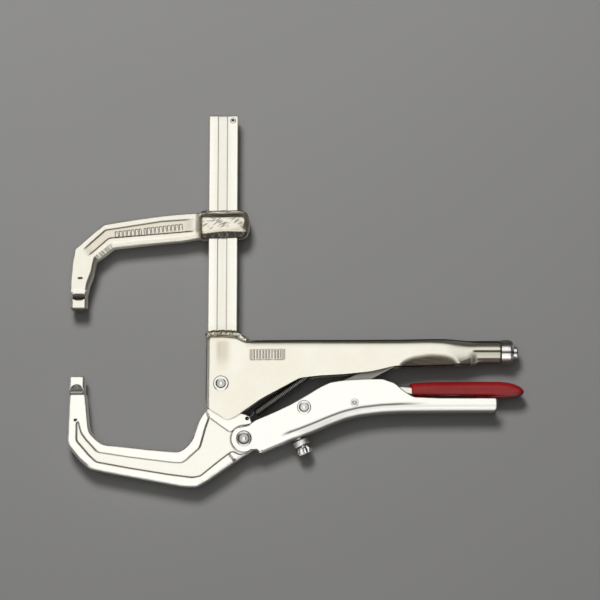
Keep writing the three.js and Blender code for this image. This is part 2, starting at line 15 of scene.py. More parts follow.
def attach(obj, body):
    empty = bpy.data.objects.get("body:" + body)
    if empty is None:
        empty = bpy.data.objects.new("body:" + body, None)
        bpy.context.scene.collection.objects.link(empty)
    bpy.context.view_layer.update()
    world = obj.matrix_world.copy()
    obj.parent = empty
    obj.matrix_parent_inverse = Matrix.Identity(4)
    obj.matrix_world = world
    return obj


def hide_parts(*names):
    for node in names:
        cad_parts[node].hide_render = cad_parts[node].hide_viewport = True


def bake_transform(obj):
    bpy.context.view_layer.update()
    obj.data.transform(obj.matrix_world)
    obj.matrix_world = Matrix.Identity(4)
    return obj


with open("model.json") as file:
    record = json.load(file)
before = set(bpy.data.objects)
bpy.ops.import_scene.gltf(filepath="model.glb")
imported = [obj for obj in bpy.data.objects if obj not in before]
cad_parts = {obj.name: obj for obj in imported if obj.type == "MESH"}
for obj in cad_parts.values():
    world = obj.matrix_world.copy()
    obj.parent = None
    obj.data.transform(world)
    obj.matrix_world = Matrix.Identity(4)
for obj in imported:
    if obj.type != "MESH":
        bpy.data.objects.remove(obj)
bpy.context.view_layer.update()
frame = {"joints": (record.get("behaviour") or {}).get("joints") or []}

JOINT = {j["name"]: j for j in frame["joints"]}
MID = JOINT["jaw_open"]["pos_m"][2] * 1000


def joint_xy(name):
    return tuple(v * 1000 for v in JOINT[name]["pos_m"][:2])


PIVOT_A = joint_xy("jaw_open")
PIVOT_B = joint_xy("handle_open")
PIVOT_C = joint_xy("link_swing")
PIVOT_E = joint_xy("release_press")
FINE = 0.42  # spacing of the distance-field grids


# ------------------------------------------------------------------ field tools
def poly_sdf(x, y, pts):
    """Signed distance to a closed polygon, negative inside."""
    pts = np.asarray(pts, float)
    d = np.full(x.shape, 1e18)
    inside = np.zeros(x.shape, bool)
    for (ax, ay), (bx, by) in zip(pts, np.roll(pts, -1, 0)):
        ex, ey = bx - ax, by - ay
        wx, wy = x - ax, y - ay
        t = np.clip((wx * ex + wy * ey) / (ex * ex + ey * ey + 1e-12), 0, 1)
        d = np.minimum(d, (wx - ex * t) ** 2 + (wy - ey * t) ** 2)
        if ay != by:
            cross = ((ay > y) != (by > y)) & (x < ex * (y - ay) / ey + ax)
            inside ^= cross
    return np.where(inside, -1.0, 1.0) * np.sqrt(d)


def soften(pts, r, n=5):
    """Rounds every corner of a closed polygon over up to r along both edges."""
    pts = np.asarray(pts, float)
    out = []
    for i, p in enumerate(pts):
        a, b = pts[i - 1], pts[(i + 1) % len(pts)]
        la, lb = np.linalg.norm(a - p), np.linalg.norm(b - p)
        s = p + (a - p) * min(r, 0.45 * la) / la
        e = p + (b - p) * min(r, 0.45 * lb) / lb
        for t in np.linspace(0, 1, n):
            out.append((1 - t) ** 2 * s + 2 * t * (1 - t) * p + t * t * e)
    return np.array(out)


def smax(a, b, k):
    h = np.maximum(k - np.abs(a - b), 0)
    return np.maximum(a, b) + h * h / (4 * k)


def smin(a, b, k):
    return -smax(-a, -b, k)


def rmax(a, b, r):
    """Intersection with an edge rounded to radius r."""
    return np.minimum(np.maximum(a + r, b + r), 0) + np.hypot(np.maximum(a + r, 0), np.maximum(b + r, 0)) - r


def step01(t):
    t = np.clip(t, 0, 1)
    return t * t * (3 - 2 * t)


def waves(x, y, z, size, seed, n=7):
    """Smooth seeded waviness of about that wavelength, between -1 and 1."""
    rng = np.random.default_rng(seed)
    total = 0.0
    for _ in range(n):
        d = rng.normal(size=3)
        d *= (2 * math.pi / size) * rng.uniform(0.6, 1.4) / np.linalg.norm(d)
        total = total + np.sin(x * d[0] + y * d[1] + z * d[2] + rng.uniform(0, 6.3))
    return total / math.sqrt(n * 2)


def sample(F, p):
    """Trilinear value of grid F at points p in grid units."""
    i = np.clip(np.floor(p).astype(int), 0, np.array(F.shape) - 2)
    f = p - i
    out = np.zeros(len(p))
    for a in (0, 1):
        for b in (0, 1):
            for c in (0, 1):
                w = (
                    (f[:, 0] if a else 1 - f[:, 0])
                    * (f[:, 1] if b else 1 - f[:, 1])
                    * (f[:, 2] if c else 1 - f[:, 2])
                )
                out += w * F[i[:, 0] + a, i[:, 1] + b, i[:, 2] + c]
    return out


def nets(F):
    """Surface nets of the zero level of F: vertices in grid units and quads facing out."""
    n = np.array(F.shape) - 1
    ncell = int(n.prod())
    acc = [np.zeros(ncell) for _ in range(3)]
    cnt = np.zeros(ncell)
    quads = []
    for ax in range(3):
        lo, hi = [slice(None)] * 3, [slice(None)] * 3
        lo[ax], hi[ax] = slice(0, -1), slice(1, None)
        A, B = F[tuple(lo)], F[tuple(hi)]
        idx = np.nonzero((A < 0) != (B < 0))
        a, b = A[idx], B[idx]
        pos = [v.astype(float) for v in idx]
        pos[ax] = pos[ax] + a / (a - b)
        u, v = (ax + 1) % 3, (ax + 2) % 3
        cells = []
        for du, dv in ((0, 0), (-1, 0), (-1, -1), (0, -1)):
            c = list(idx)
            c[u], c[v] = c[u] + du, c[v] + dv
            cells.append((c[0] * n[1] + c[1]) * n[2] + c[2])
        for lin in cells:
            cnt += np.bincount(lin, minlength=ncell)
            for q in range(3):
                acc[q] += np.bincount(lin, weights=pos[q], minlength=ncell)
        order = np.stack(cells, 1)
        quads.append(np.where((a < 0)[:, None], order, order[:, ::-1]))
    used = np.nonzero(cnt)[0]
    index = np.full(ncell, -1)
    index[used] = np.arange(len(used))
    verts = np.stack([acc[q][used] / cnt[used] for q in range(3)], 1)
    return verts, index[np.concatenate(quads)]


def make_mesh(name, verts_mm, faces, smooth=True):
    """Object from vertices in millimetres (z from the plane of symmetry) and faces."""
    v = np.asarray(verts_mm, float).copy()
    v[:, 2] += MID
    v *= 0.001
    mesh = bpy.data.meshes.new(name)
    if isinstance(faces, np.ndarray) and faces.ndim == 2:
        k = faces.shape[1]
        mesh.vertices.add(len(v))
        mesh.vertices.foreach_set("co", v.astype(np.float32).ravel())
        mesh.loops.add(faces.size)
        mesh.loops.foreach_set("vertex_index", faces.astype(np.int32).ravel())
        mesh.polygons.add(len(faces))
        mesh.polygons.foreach_set(
            "loop_start", np.arange(0, faces.size, k, dtype=np.int32)
        )
        mesh.update(calc_edges=True)
    else:
        mesh.from_pydata([tuple(p) for p in v], [], [tuple(f) for f in faces])
        mesh.update()
    mesh.validate()
    if smooth:
        mesh.polygons.foreach_set("use_smooth", [True] * len(mesh.polygons))
    obj = bpy.data.objects.new(name, mesh)
    bpy.context.scene.collection.objects.link(obj)
    return obj


def field_piece(name, field, lo, hi, h=None):
    """Meshes field(x, y, z) < 0 inside the box lo..hi, on a grid symmetric about z = 0."""
    h = h or FINE
    lo, hi = np.array(lo, float), np.array(hi, float)
    nz = int(math.ceil(hi[2] / h)) + 2
    zs = (np.arange(2 * nz) - nz + 0.5) * h
    xs = np.arange(lo[0] - 2.5 * h, hi[0] + 2.5 * h, h)
    ys = np.arange(lo[1] - 2.5 * h, hi[1] + 2.5 * h, h)
    X, Y = np.meshgrid(xs, ys, indexing="ij")
    F = field(X[:, :, None], Y[:, :, None], zs[None, None, :])
    F = np.ascontiguousarray(np.broadcast_to(F, (len(xs), len(ys), len(zs)))).astype(
        float
    )
    for ax in range(3):  # nothing may touch the box
        s = [slice(None)] * 3
        for end in (0, -1):
            s[ax] = end
            F[tuple(s)] = np.maximum(F[tuple(s)], 0.5 * h)
    verts, quads = nets(F)
    for _ in range(2):  # settle the points on the surface itself
        d = 0.5
        g = np.stack(
            [
                sample(F, verts + np.eye(3)[q] * d) - sample(F, verts - np.eye(3)[q] * d)
                for q in range(3)
            ],
            1,
        ) / (2 * d)
        f = sample(F, verts)
        g2 = np.maximum((g * g).sum(1), 0.2 * h * h)
        move = -f[:, None] * g / g2[:, None]
        verts = verts + np.clip(move, -0.35, 0.35)
    v = np.stack([xs[0] + verts[:, 0] * h, ys[0] + verts[:, 1] * h, zs[0] + verts[:, 2] * h], 1)
    return make_mesh(name, v, quads)


# ------------------------------------------------------------------ turned and swept pieces
def basis(axis):
    """Right-handed (u, v, w) with w along axis."""
    w = Vector(axis).normalized()
    u = w.orthogonal().normalized() if abs(w.z) > 0.9 else Vector((0, 0, 1)).cross(w).normalized()
    v = w.cross(u)
    return np.array([u, v, w])


def turned(name, profile, origin, axis, n=64, radius=None, caps=True):
    """Profile of (radius, height) swept about an axis. radius(r, theta, h) may shape the surface.
    An open profile starts and ends on the axis; a closed one (first point = last) makes a ring."""
    prof = np.array(profile, float)
    ring = bool(np.allclose(prof[0], prof[-1]))
    if ring:
        prof = prof[:-1]
    u, v, w = basis(axis)
    th = np.linspace(0, 2 * math.pi, n, endpoint=False)
    rows = []
    for r, h in prof:
        rr = np.full(n, r) if radius is None else radius(r, th, h)
        rows.append(
            np.array(origin)[None, :]
            + rr[:, None] * (np.cos(th)[:, None] * u + np.sin(th)[:, None] * v)
            + h * w
        )
    faces = []
    if ring:
        verts = np.concatenate(rows)
        m = len(prof)
        for i in range(m):
            j = (i + 1) % m
            for k in range(n):
                l = (k + 1) % n
                faces.append((i * n + k, i * n + l, j * n + l, j * n + k))
    else:
        inner = rows[1:-1]
        verts = np.concatenate(inner + [rows[0][:1], rows[-1][:1]])
        m = len(inner)
        for i in range(m - 1):
            for k in range(n):
                l = (k + 1) % n
                faces.append((i * n + k, i * n + l, (i + 1) * n + l, (i + 1) * n + k))
        first, last = m * n, m * n + 1
        for k in range(n):
            l = (k + 1) % n
            faces.append((first, l, k))
            faces.append((last, (m - 1) * n + k, (m - 1) * n + l))
    obj = make_mesh(name, verts, faces)
    return obj


def arc(cx, cy, r, a0, a1, n=8):
    return [
        (cx + r * math.cos(a), cy + r * math.sin(a))
        for a in np.linspace(math.radians(a0), math.radians(a1), n)
    ]


def densify(profile, step):
    out = [profile[0]]
    for a, b in zip(profile, profile[1:]):
        n = max(1, int(math.ceil(math.dist(a, b) / step)))
        out += [(a[0] + (b[0] - a[0]) * i / n, a[1] + (b[1] - a[1]) * i / n) for i in range(1, n + 1)]
    return out


def tube_along(name, path, r, n=10, closed_ends=True):
    """Round wire along a list of points (mm)."""
    p = np.array(path, float)
    t = np.gradient(p, axis=0)
    t /= np.linalg.norm(t, axis=1)[:, None]
    ref = np.array([0.0, 0.0, 1.0]) if abs(t[0][2]) < 0.9 else np.array([1.0, 0, 0])
    nrm = np.cross(t[0], ref)
    nrm /= np.linalg.norm(nrm)
    rows = []
    for i in range(len(p)):
        nrm = nrm - t[i] * nrm.dot(t[i])
        nrm /= np.linalg.norm(nrm)
        b = np.cross(t[i], nrm)
        th = np.linspace(0, 2 * math.pi, n, endpoint=False)
        rows.append(p[i] + r * (np.cos(th)[:, None] * nrm + np.sin(th)[:, None] * b))
    verts = np.concatenate(rows + [p[:1], p[-1:]])
    faces = []
    for i in range(len(p) - 1):
        for k in range(n):
            l = (k + 1) % n
            faces.append((i * n + k, i * n + l, (i + 1) * n + l, (i + 1) * n + k))
    s, e = len(p) * n, len(p) * n + 1
    for k in range(n):
        l = (k + 1) % n
        faces.append((s, l, k))
        faces.append((e, (len(p) - 1) * n + k, (len(p) - 1) * n + l))
    return make_mesh(name, verts, faces)


def paint(obj, name, fn):
    """Stores fn(x, y, z) of every vertex (mm, z from the plane of symmetry) as a mask for materials."""
    mesh = obj.data
    co = np.empty(len(mesh.vertices) * 3, np.float32)
    mesh.vertices.foreach_get("co", co)
    co = co.reshape(-1, 3).astype(float) * 1000
    v = np.clip(fn(co[:, 0], co[:, 1], co[:, 2] - MID), 0, 1)
    att = mesh.attributes.new(name, "FLOAT", "POINT")
    att.data.foreach_set("value", np.asarray(v, np.float32))


def shade_by_angle(obj, degrees=35):
    """Smooth faces, with edges sharper than that kept sharp."""
    mesh = obj.data
    mesh.polygons.foreach_set("use_smooth", [True] * len(mesh.polygons))
    mesh.set_sharp_from_angle(angle=math.radians(degrees))


# ------------------------------------------------------------------ materials
def nodes_of(mat):
    mat.use_nodes = True
    nt = mat.node_tree
    nt.nodes.clear()
    out = nt.nodes.new("ShaderNodeOutputMaterial")
    bsdf = nt.nodes.new("ShaderNodeBsdfPrincipled")
    nt.links.new(bsdf.outputs[0], out.inputs["Surface"])
    return nt, bsdf


class Net:
    """Small helper to write node trees as expressions."""

    def __init__(self, nt):
        self.nt = nt
        self.tc = nt.nodes.new("ShaderNodeTexCoord")

    def link(self, a, b):
        self.nt.links.new(a, b)

    def mapping(self, scale=(1, 1, 1), rot=(0, 0, 0)):
        m = self.nt.nodes.new("ShaderNodeMapping")
        self.link(self.tc.outputs["Object"], m.inputs["Vector"])
        m.inputs["Scale"].default_value = scale
        m.inputs["Rotation"].default_value = rot
        return m.outputs[0]

    def noise(self, scale, detail=4, rough=0.55, vector=None, distortion=0.0):
        n = self.nt.nodes.new("ShaderNodeTexNoise")
        self.link(vector or self.tc.outputs["Object"], n.inputs["Vector"])
        n.inputs["Scale"].default_value = scale
        n.inputs["Detail"].default_value = detail
        n.inputs["Roughness"].default_value = rough
        n.inputs["Distortion"].default_value = distortion
        return n.outputs["Fac"]

    def voronoi(self, scale, feature="F1", vector=None):
        n = self.nt.nodes.new("ShaderNodeTexVoronoi")
        n.feature = feature
        self.link(vector or self.tc.outputs["Object"], n.inputs["Vector"])
        n.inputs["Scale"].default_value = scale
        return n.outputs["Distance"]

    def ramp(self, fac, stops):
        r = self.nt.nodes.new("ShaderNodeValToRGB")
        self.link(fac, r.inputs["Fac"])
        while len(r.color_ramp.elements) > len(stops):
            r.color_ramp.elements.remove(r.color_ramp.elements[-1])
        while len(r.color_ramp.elements) < len(stops):
            r.color_ramp.elements.new(0.5)
        for e, (p, c) in zip(r.color_ramp.elements, stops):
            e.position = p
            e.color = (c, c, c, 1) if isinstance(c, (int, float)) else (*c, 1)
        return r.outputs["Color"]

    def math(self, op, a, b=None, clamp=False):
        m = self.nt.nodes.new("ShaderNodeMath")
        m.operation = op
        m.use_clamp = clamp
        for i, x in enumerate((a, b)):
            if x is None:
                continue
            if isinstance(x, (int, float)):
                m.inputs[i].default_value = x
            else:
                self.link(x, m.inputs[i])
        return m.outputs[0]

    def mix(self, fac, a, b, blend="MIX"):
        m = self.nt.nodes.new("ShaderNodeMix")
        m.data_type = "RGBA"
        m.blend_type = blend
        for sock, x in ((m.inputs["Factor"], fac), (m.inputs["A"], a), (m.inputs["B"], b)):
            pass
        f, A_, B_ = m.inputs[0], m.inputs[6], m.inputs[7]
        for sock, x in ((f, fac), (A_, a), (B_, b)):
            if isinstance(x, (int, float)):
                sock.default_value = x if sock is f else (x, x, x, 1)
            elif isinstance(x, tuple):
                sock.default_value = (*x, 1)
            else:
                self.link(x, sock)
        return m.outputs[2]

    def bump(self, height, strength, distance, normal=None):
        b = self.nt.nodes.new("ShaderNodeBump")
        b.inputs["Strength"].default_value = strength
        b.inputs["Distance"].default_value = distance
        self.link(height, b.inputs["Height"])
        if normal is not None:
            self.link(normal, b.inputs["Normal"])
        return b.outputs[0]

    def attribute(self, name):
        a = self.nt.nodes.new("ShaderNodeAttribute")
        a.attribute_name = name
        return a.outputs["Fac"]

    def pointiness(self):
        g = self.nt.nodes.new("ShaderNodeNewGeometry")
        return g.outputs["Pointiness"]


def plated(name, base, tint, rough, grain=0.5, grain_size=1800, scratches=0.25, mottle=60.0,
           streak=(1, 1, 1), rough_var=0.10, edge=0.0, spots=0.0, masks=()):
    """Plated or bare steel: mottled colour, grain, fine scratches and brightened edges."""
    mat = bpy.data.materials.new(name)
    nt, bsdf = nodes_of(mat)
    n = Net(nt)
    patch = n.noise(mottle, 5, 0.6, distortion=0.4)
    col = n.mix(n.ramp(patch, [(0.35, 0.0), (0.68, 1.0)]), base, tint)
    fine = n.noise(mottle * 14, 3, 0.6)
    col = n.mix(0.16, col, n.mix(fine, tuple(c * 0.80 for c in base), tuple(min(1, c * 1.12) for c in base)))
    if spots:
        cell = n.voronoi(420)
        pit = n.ramp(cell, [(0.0, 1.0), (0.09, 0.0)])
        gate = n.ramp(n.noise(90, 2), [(0.52, 0.0), (0.62, 1.0)])
        col = n.mix(n.math("MULTIPLY", n.math("MULTIPLY", pit, gate), spots), col, tuple(c * 0.35 for c in base))
    if edge:
        hot = n.ramp(n.pointiness(), [(0.5, 0.0), (0.56, 1.0)])
        col = n.mix(n.math("MULTIPLY", hot, edge), col, tuple(min(1, c * 1.15 + 0.03) for c in base))
    if "tint" in masks:  # straw heat tint, a duller rolled band, and painted shade on the upper handle
        col = n.mix(n.attribute("tint"), col, (0.56, 0.50, 0.375))
    if "dark" in masks:  # painted shade in recesses and creases, painted dark reflections, and scorch on the weld
        speck = n.noise(900, 3, 0.7)
        dark_col = n.mix(speck, (0.020, 0.018, 0.014), (0.12, 0.11, 0.09))
        dm = n.attribute("dark")
        col = n.mix(dm, col, dark_col)
    n.link(col, bsdf.inputs["Base Color"])
    bsdf.inputs["Metallic"].default_value = 1.0
    # long fine scratches in the finishing direction, and a few crossed ones
    s1 = n.noise(1.0, 2, 0.5, n.mapping(streak, (0, 0, 0.0)))
    s2 = n.noise(1.0, 2, 0.5, n.mapping((60, 2600, 400), (0, 0, 0.7)))
    hair = n.ramp(s2, [(0.62, 0.0), (0.70, 1.0)])
    r = n.math("ADD", n.math("MULTIPLY", patch, rough_var), rough - rough_var * 0.5)
    r = n.math("ADD", r, n.math("MULTIPLY", n.math("SUBTRACT", s1, 0.5), scratches * 0.5))
    r = n.math("ADD", r, n.math("MULTIPLY", hair, scratches * 0.10), clamp=True)
    if "dark" in masks:
        r = n.math("ADD", r, n.math("MULTIPLY", dm, 0.22), clamp=True)
    n.link(r, bsdf.inputs["Roughness"])
    g = n.noise(grain_size, 3, 0.6)
    nrm = n.bump(g, grain, 0.00006)
    if scratches:
        nrm = n.bump(s1, scratches * 0.35, 0.00004, nrm)
    n.link(nrm, bsdf.inputs["Normal"])
    return mat


M = {}
M["sheet"] = plated("nickel_sheet", (0.775, 0.742, 0.642), (0.835, 0.815, 0.735), 0.30, grain=0.28,
                    grain_size=2600, scratches=0.16, mottle=38, streak=(25, 1500, 1500), spots=0.35, masks=("tint", "dark"))
M["sheet_low"] = plated("nickel_sheet_low", (0.85, 0.84, 0.795), (0.89, 0.885, 0.85), 0.27, grain=0.2,
                        grain_size=2600, scratches=0.2, mottle=34, streak=(25, 1500, 1500), spots=0.3, masks=("dark",))
M["forged"] = plated("forged_nickel", (0.80, 0.765, 0.655), (0.86, 0.84, 0.77), 0.36, grain=0.75,
                     grain_size=1500, scratches=0.10, mottle=55, streak=(500, 500, 500), edge=0.5, spots=0.4, masks=("tint", "dark"))
M["forged_jaw"] = plated("forged_nickel_bright", (0.885, 0.868, 0.80), (0.92, 0.912, 0.872), 0.34, grain=0.6,
                         grain_size=1500, scratches=0.10, mottle=55, streak=(500, 500, 500), edge=0.4, spots=0.3, masks=("tint", "dark"))
M["rail"] = plated("rail_steel", (0.84, 0.815, 0.725), (0.88, 0.87, 0.81), 0.27, grain=0.15,
                   grain_size=2500, scratches=0.40, mottle=30, streak=(1700, 14, 1700), masks=("tint", "dark"))
M["bright"] = plated("bright_hardware", (0.80, 0.79, 0.75), (0.86, 0.86, 0.84), 0.20, grain=0.15,
                     grain_size=3000, scratches=0.25, mottle=90, streak=(900, 900, 900))
M["rivet"] = plated("bright_rivet", (0.80, 0.79, 0.75), (0.86, 0.86, 0.84), 0.24, grain=0.2,
                    grain_size=2600, scratches=0.2, mottle=90, streak=(900, 900, 900), masks=("dark",))
M["nut"] = plated("bright_nut", (0.84, 0.83, 0.80), (0.88, 0.88, 0.86), 0.33, grain=0.1,
                  grain_size=3000, scratches=0.1, mottle=90, streak=(900, 900, 900), masks=("dark",))
M["dark"] = plated("dark_steel", (0.23, 0.22, 0.205), (0.32, 0.31, 0.29), 0.38, grain=0.4,
                   grain_size=1500, scratches=0.2, mottle=60, streak=(900, 900, 900))
M["weld"] = plated("weld_nickel", (0.70, 0.665, 0.56), (0.82, 0.79, 0.70), 0.34, grain=0.9,
                   grain_size=700, scratches=0.1, mottle=160, streak=(700, 700, 700), spots=0.8, masks=("tint", "dark"))


def vinyl(name):
    mat = bpy.data.materials.new(name)
    nt, bsdf = nodes_of(mat)
    n = Net(nt)
    patch = n.noise(35, 4, 0.55)
    col = n.mix(n.ramp(patch, [(0.3, 0.0), (0.7, 1.0)]), (0.212, 0.0036, 0.0046), (0.275, 0.0066, 0.0086))
    worn = n.ramp(n.noise(220, 4, 0.6), [(0.60, 0.0), (0.72, 1.0)])
    col = n.mix(n.math("MULTIPLY", worn, 0.16), col, (0.37, 0.040, 0.037))
    n.link(col, bsdf.inputs["Base Color"])
    r = n.math("ADD", n.math("MULTIPLY", n.noise(60, 5, 0.6), 0.22), 0.27, clamp=True)
    n.link(r, bsdf.inputs["Roughness"])
    bsdf.inputs["IOR"].default_value = 1.44
    bsdf.inputs["Coat Weight"].default_value = 0.06
    bsdf.inputs["Coat Roughness"].default_value = 0.12
    nrm = n.bump(n.noise(900, 3, 0.6), 0.25, 0.00008)
    nrm = n.bump(n.noise(90, 2, 0.5), 0.35, 0.0004, nrm)
    n.link(nrm, bsdf.inputs["Normal"])
    return mat


M["red"] = vinyl("red_vinyl")


def dress(obj, body, mat, node=None):
    obj.data.materials.clear()
    obj.data.materials.append(M[mat])
    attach(obj, body)
    if node:
        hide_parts(node)
    return obj


# ------------------------------------------------------------------ camera, light, floor
scene = bpy.context.scene
centre = Vector((0.0032, -0.0007, (MID + 7) * 0.001))
TILT = math.radians(9.0)
DIST = 1.30
cam_data = bpy.data.cameras.new("camera")
cam = bpy.data.objects.new("camera", cam_data)
scene.collection.objects.link(cam)
back = Vector((0, -math.sin(TILT), math.cos(TILT)))
cam.location = centre + back * DIST
cam.rotation_mode = "QUATERNION"
cam.rotation_quaternion = (-back).to_track_quat("-Z", "Y")
cam_data.sensor_width = 36
cam_data.lens = 36 / (2 * (0.420 / 2) / DIST)
cam_data.dof.use_dof = False
cam_data.clip_start, cam_data.clip_end = 0.05, 20
scene.camera = cam

FLOOR_TONE = 0.25


def floor_material():
    mat = bpy.data.materials.new("floor_grey")
    nt, bsdf = nodes_of(mat)
    n = Net(nt)
    col = n.mix(n.noise(2.5, 3, 0.5), (FLOOR_TONE * 0.96,) * 3, (FLOOR_TONE * 1.03,) * 3)
    n.link(col, bsdf.inputs["Base Color"])
    bsdf.inputs["Roughness"].default_value = 0.75
    bsdf.inputs["Specular IOR Level"].default_value = 0.25
    return mat


mesh = bpy.data.meshes.new("floor")
s = 3.0
mesh.from_pydata([(-s, -s, 0), (s, -s, 0), (s, s, 0), (-s, s, 0)], [], [(0, 1, 2, 3)])
floor = bpy.data.objects.new("floor", mesh)
scene.collection.objects.link(floor)
mesh.materials.append(floor_material())
floor.location.z = -0.0002


def area(name, loc, target, size, radiance, colour=(1, 1, 1), size_y=None):
    """Rectangular soft light of a given surface radiance."""
    data = bpy.data.lights.new(name, "AREA")
    data.shape = "RECTANGLE"
    data.size, data.size_y = size, size_y or size
    data.energy = radiance * math.pi * data.size * data.size_y
    data.color = colour
    ob = bpy.data.objects.new(name, data)
    scene.collection.objects.link(ob)
    ob.location = loc
    d = Vector(target) - Vector(loc)
    ob.rotation_mode = "QUATERNION"
    ob.rotation_quaternion = d.to_track_quat("-Z", "Y")
    return ob


top = area("top_softbox", (-0.17, -0.29, 1.45), (-0.17, -0.29, 0), 1.9, 1.15, (1, 0.995, 0.975), size_y=3.4)
top.visible_diffuse = False
fill = area("top_fill", (-0.2, 0.1, 1.50), (-0.2, 0.1, 0), 1.2, 0.80, (1, 0.995, 0.98))
fill.visible_glossy = False
key = area("key_softbox", (-0.28, 0.86, 1.42), (0, 0, 0), 0.46, 36.0, (1, 0.99, 0.97))
key.visible_glossy = False  # it only casts the shadow; the metal mirrors the softbox and the cards
front = area("front_card", (0.0, -1.20, 0.46), (0, 0, 0.02), 1.9, 1.15, (1, 0.99, 0.97), size_y=0.92)
left = area("left_card", (-1.30, -0.1, 0.45), (0, 0, 0.0), 0.9, 0.9, (1, 0.99, 0.97), size_y=0.3)
front.visible_diffuse = left.visible_diffuse = False

world = bpy.data.worlds.new("studio")
scene.world = world
world.use_nodes = True
bg = world.node_tree.nodes["Background"]
bg.inputs["Color"].default_value = (0.13, 0.13, 0.127, 1)
bg.inputs["Strength"].default_value = 0.5
scene.view_settings.view_transform = "Standard"
scene.view_settings.look = "None"
scene.view_settings.exposure = 0.0

# ------------------------------------------------------------------ sliding arm
ARM = [(-62.58, 61.95), (-69.58, 61.74), (-80.78, 61.03), (-94.78, 59.61), (-108.78, 57.91), (-122.78, 55.93), (-135.03, 53.81), (-144.48, 46.02), (-151.83, 39.29), (-155.68, 36.25), (-156.87, 26.2), (-157.85, 13.45), (-157.99, 3.89), (-146.02, 3.89), (-145.18, 9.2), (-142.38, 16.99), (-140.28, 27.26), (-128.03, 37.17), (-121.38, 37.88), (-108.78, 39.29), (-94.78, 40.5), (-80.78, 41.77), (-66.78, 44.18), (-62.58, 44.46)]
ARM_PANEL = [(-66.78, 58.06), (-74.48, 57.49), (-94.78, 56), (-122.78, 51.54), (-133.98, 49.84), (-150.92, 34.55), (-146.16, 29.74), (-138.46, 36.67), (-131.25, 43.05), (-101.78, 45.6), (-73.78, 47.93), (-66.78, 48.5)]
SLEEVE = [(-66.78, 63.72), (-36.68, 64), (-33.53, 61.24), (-32.13, 56.64), (-32.13, 51.68), (-33.53, 47.08), (-36.68, 43.75), (-66.78, 42.9), (-67.34, 47.44), (-67.34, 60.18)]
SLEEVE_FACE = [(-66.08, 57.49), (-36.54, 58.06), (-35.63, 54.87), (-37.24, 50.69), (-65.73, 47.01)]
RAIL_X = (-61.18, -40.95)
RAIL_HALF = 5.0
NUB_X = -152.04
ARM_TIP = -7.08
ARM_POCKET = [(-156.52, 4.11), (-147.42, 4.11), (-147.28, 1.06), (-149.03, -0.21), (-151.83, -0.71), (-154.98, -0.28), (-156.66, 1.06)]


def nub(X, Y, Z, x0, y_lo, y_hi, wide=5.7, deep=5.4, bevel=6.85, round_end=0.9):
    """Eight-sided turned end along Y."""
    x = np.abs(X - x0)
    z = np.abs(Z)
    f = smax(smax(x - wide, z - deep, 0.5), (x + z) / math.sqrt(2) - bevel, 0.5)
    end = np.maximum(y_lo - Y, Y - y_hi)
    return smax(f, end, round_end)


def arm_web(x, y):
    """How far a point lies inside the arm's long panel, negative inside."""
    return poly_sdf(x, y, soften(ARM_PANEL, 1.2))


SIGN_A, SIGN_B = (-127.33, 46.02), (-79.38, 51.75)  # run of the raised bars in the panel


def bars(x, y):
    """Plain raised bars in the panel, all alike but for their width: 1 on a bar."""
    d = np.array(SIGN_B) - np.array(SIGN_A)
    L = np.hypot(*d)
    d = d / L
    a = (x - SIGN_A[0]) * d[0] + (y - SIGN_A[1]) * d[1]
    b = -(x - SIGN_A[0]) * d[1] + (y - SIGN_A[1]) * d[0]
    pitch = L / 17
    cell = np.abs((a / pitch) % 1.0 - 0.5) * pitch
    on = step01((0.95 - cell) / 0.35 + 0.5) * step01((2.15 - np.abs(b + 0.1)) / 0.35 + 0.5)
    gap = np.abs((a - L * 0.412)) < 1.0
    return on * (a > 0) * (a < L) * ~gap


def panel_ends(x, y):
    """The panel runs out softly at both ends: 1 along it, 0 past them."""
    u = (x - -147.63) * 0.746 + (y - 31.51) * 0.666
    return (1 - step01((x - -79.38) / 10.0)) * step01((u + 0.4) / 8.0)


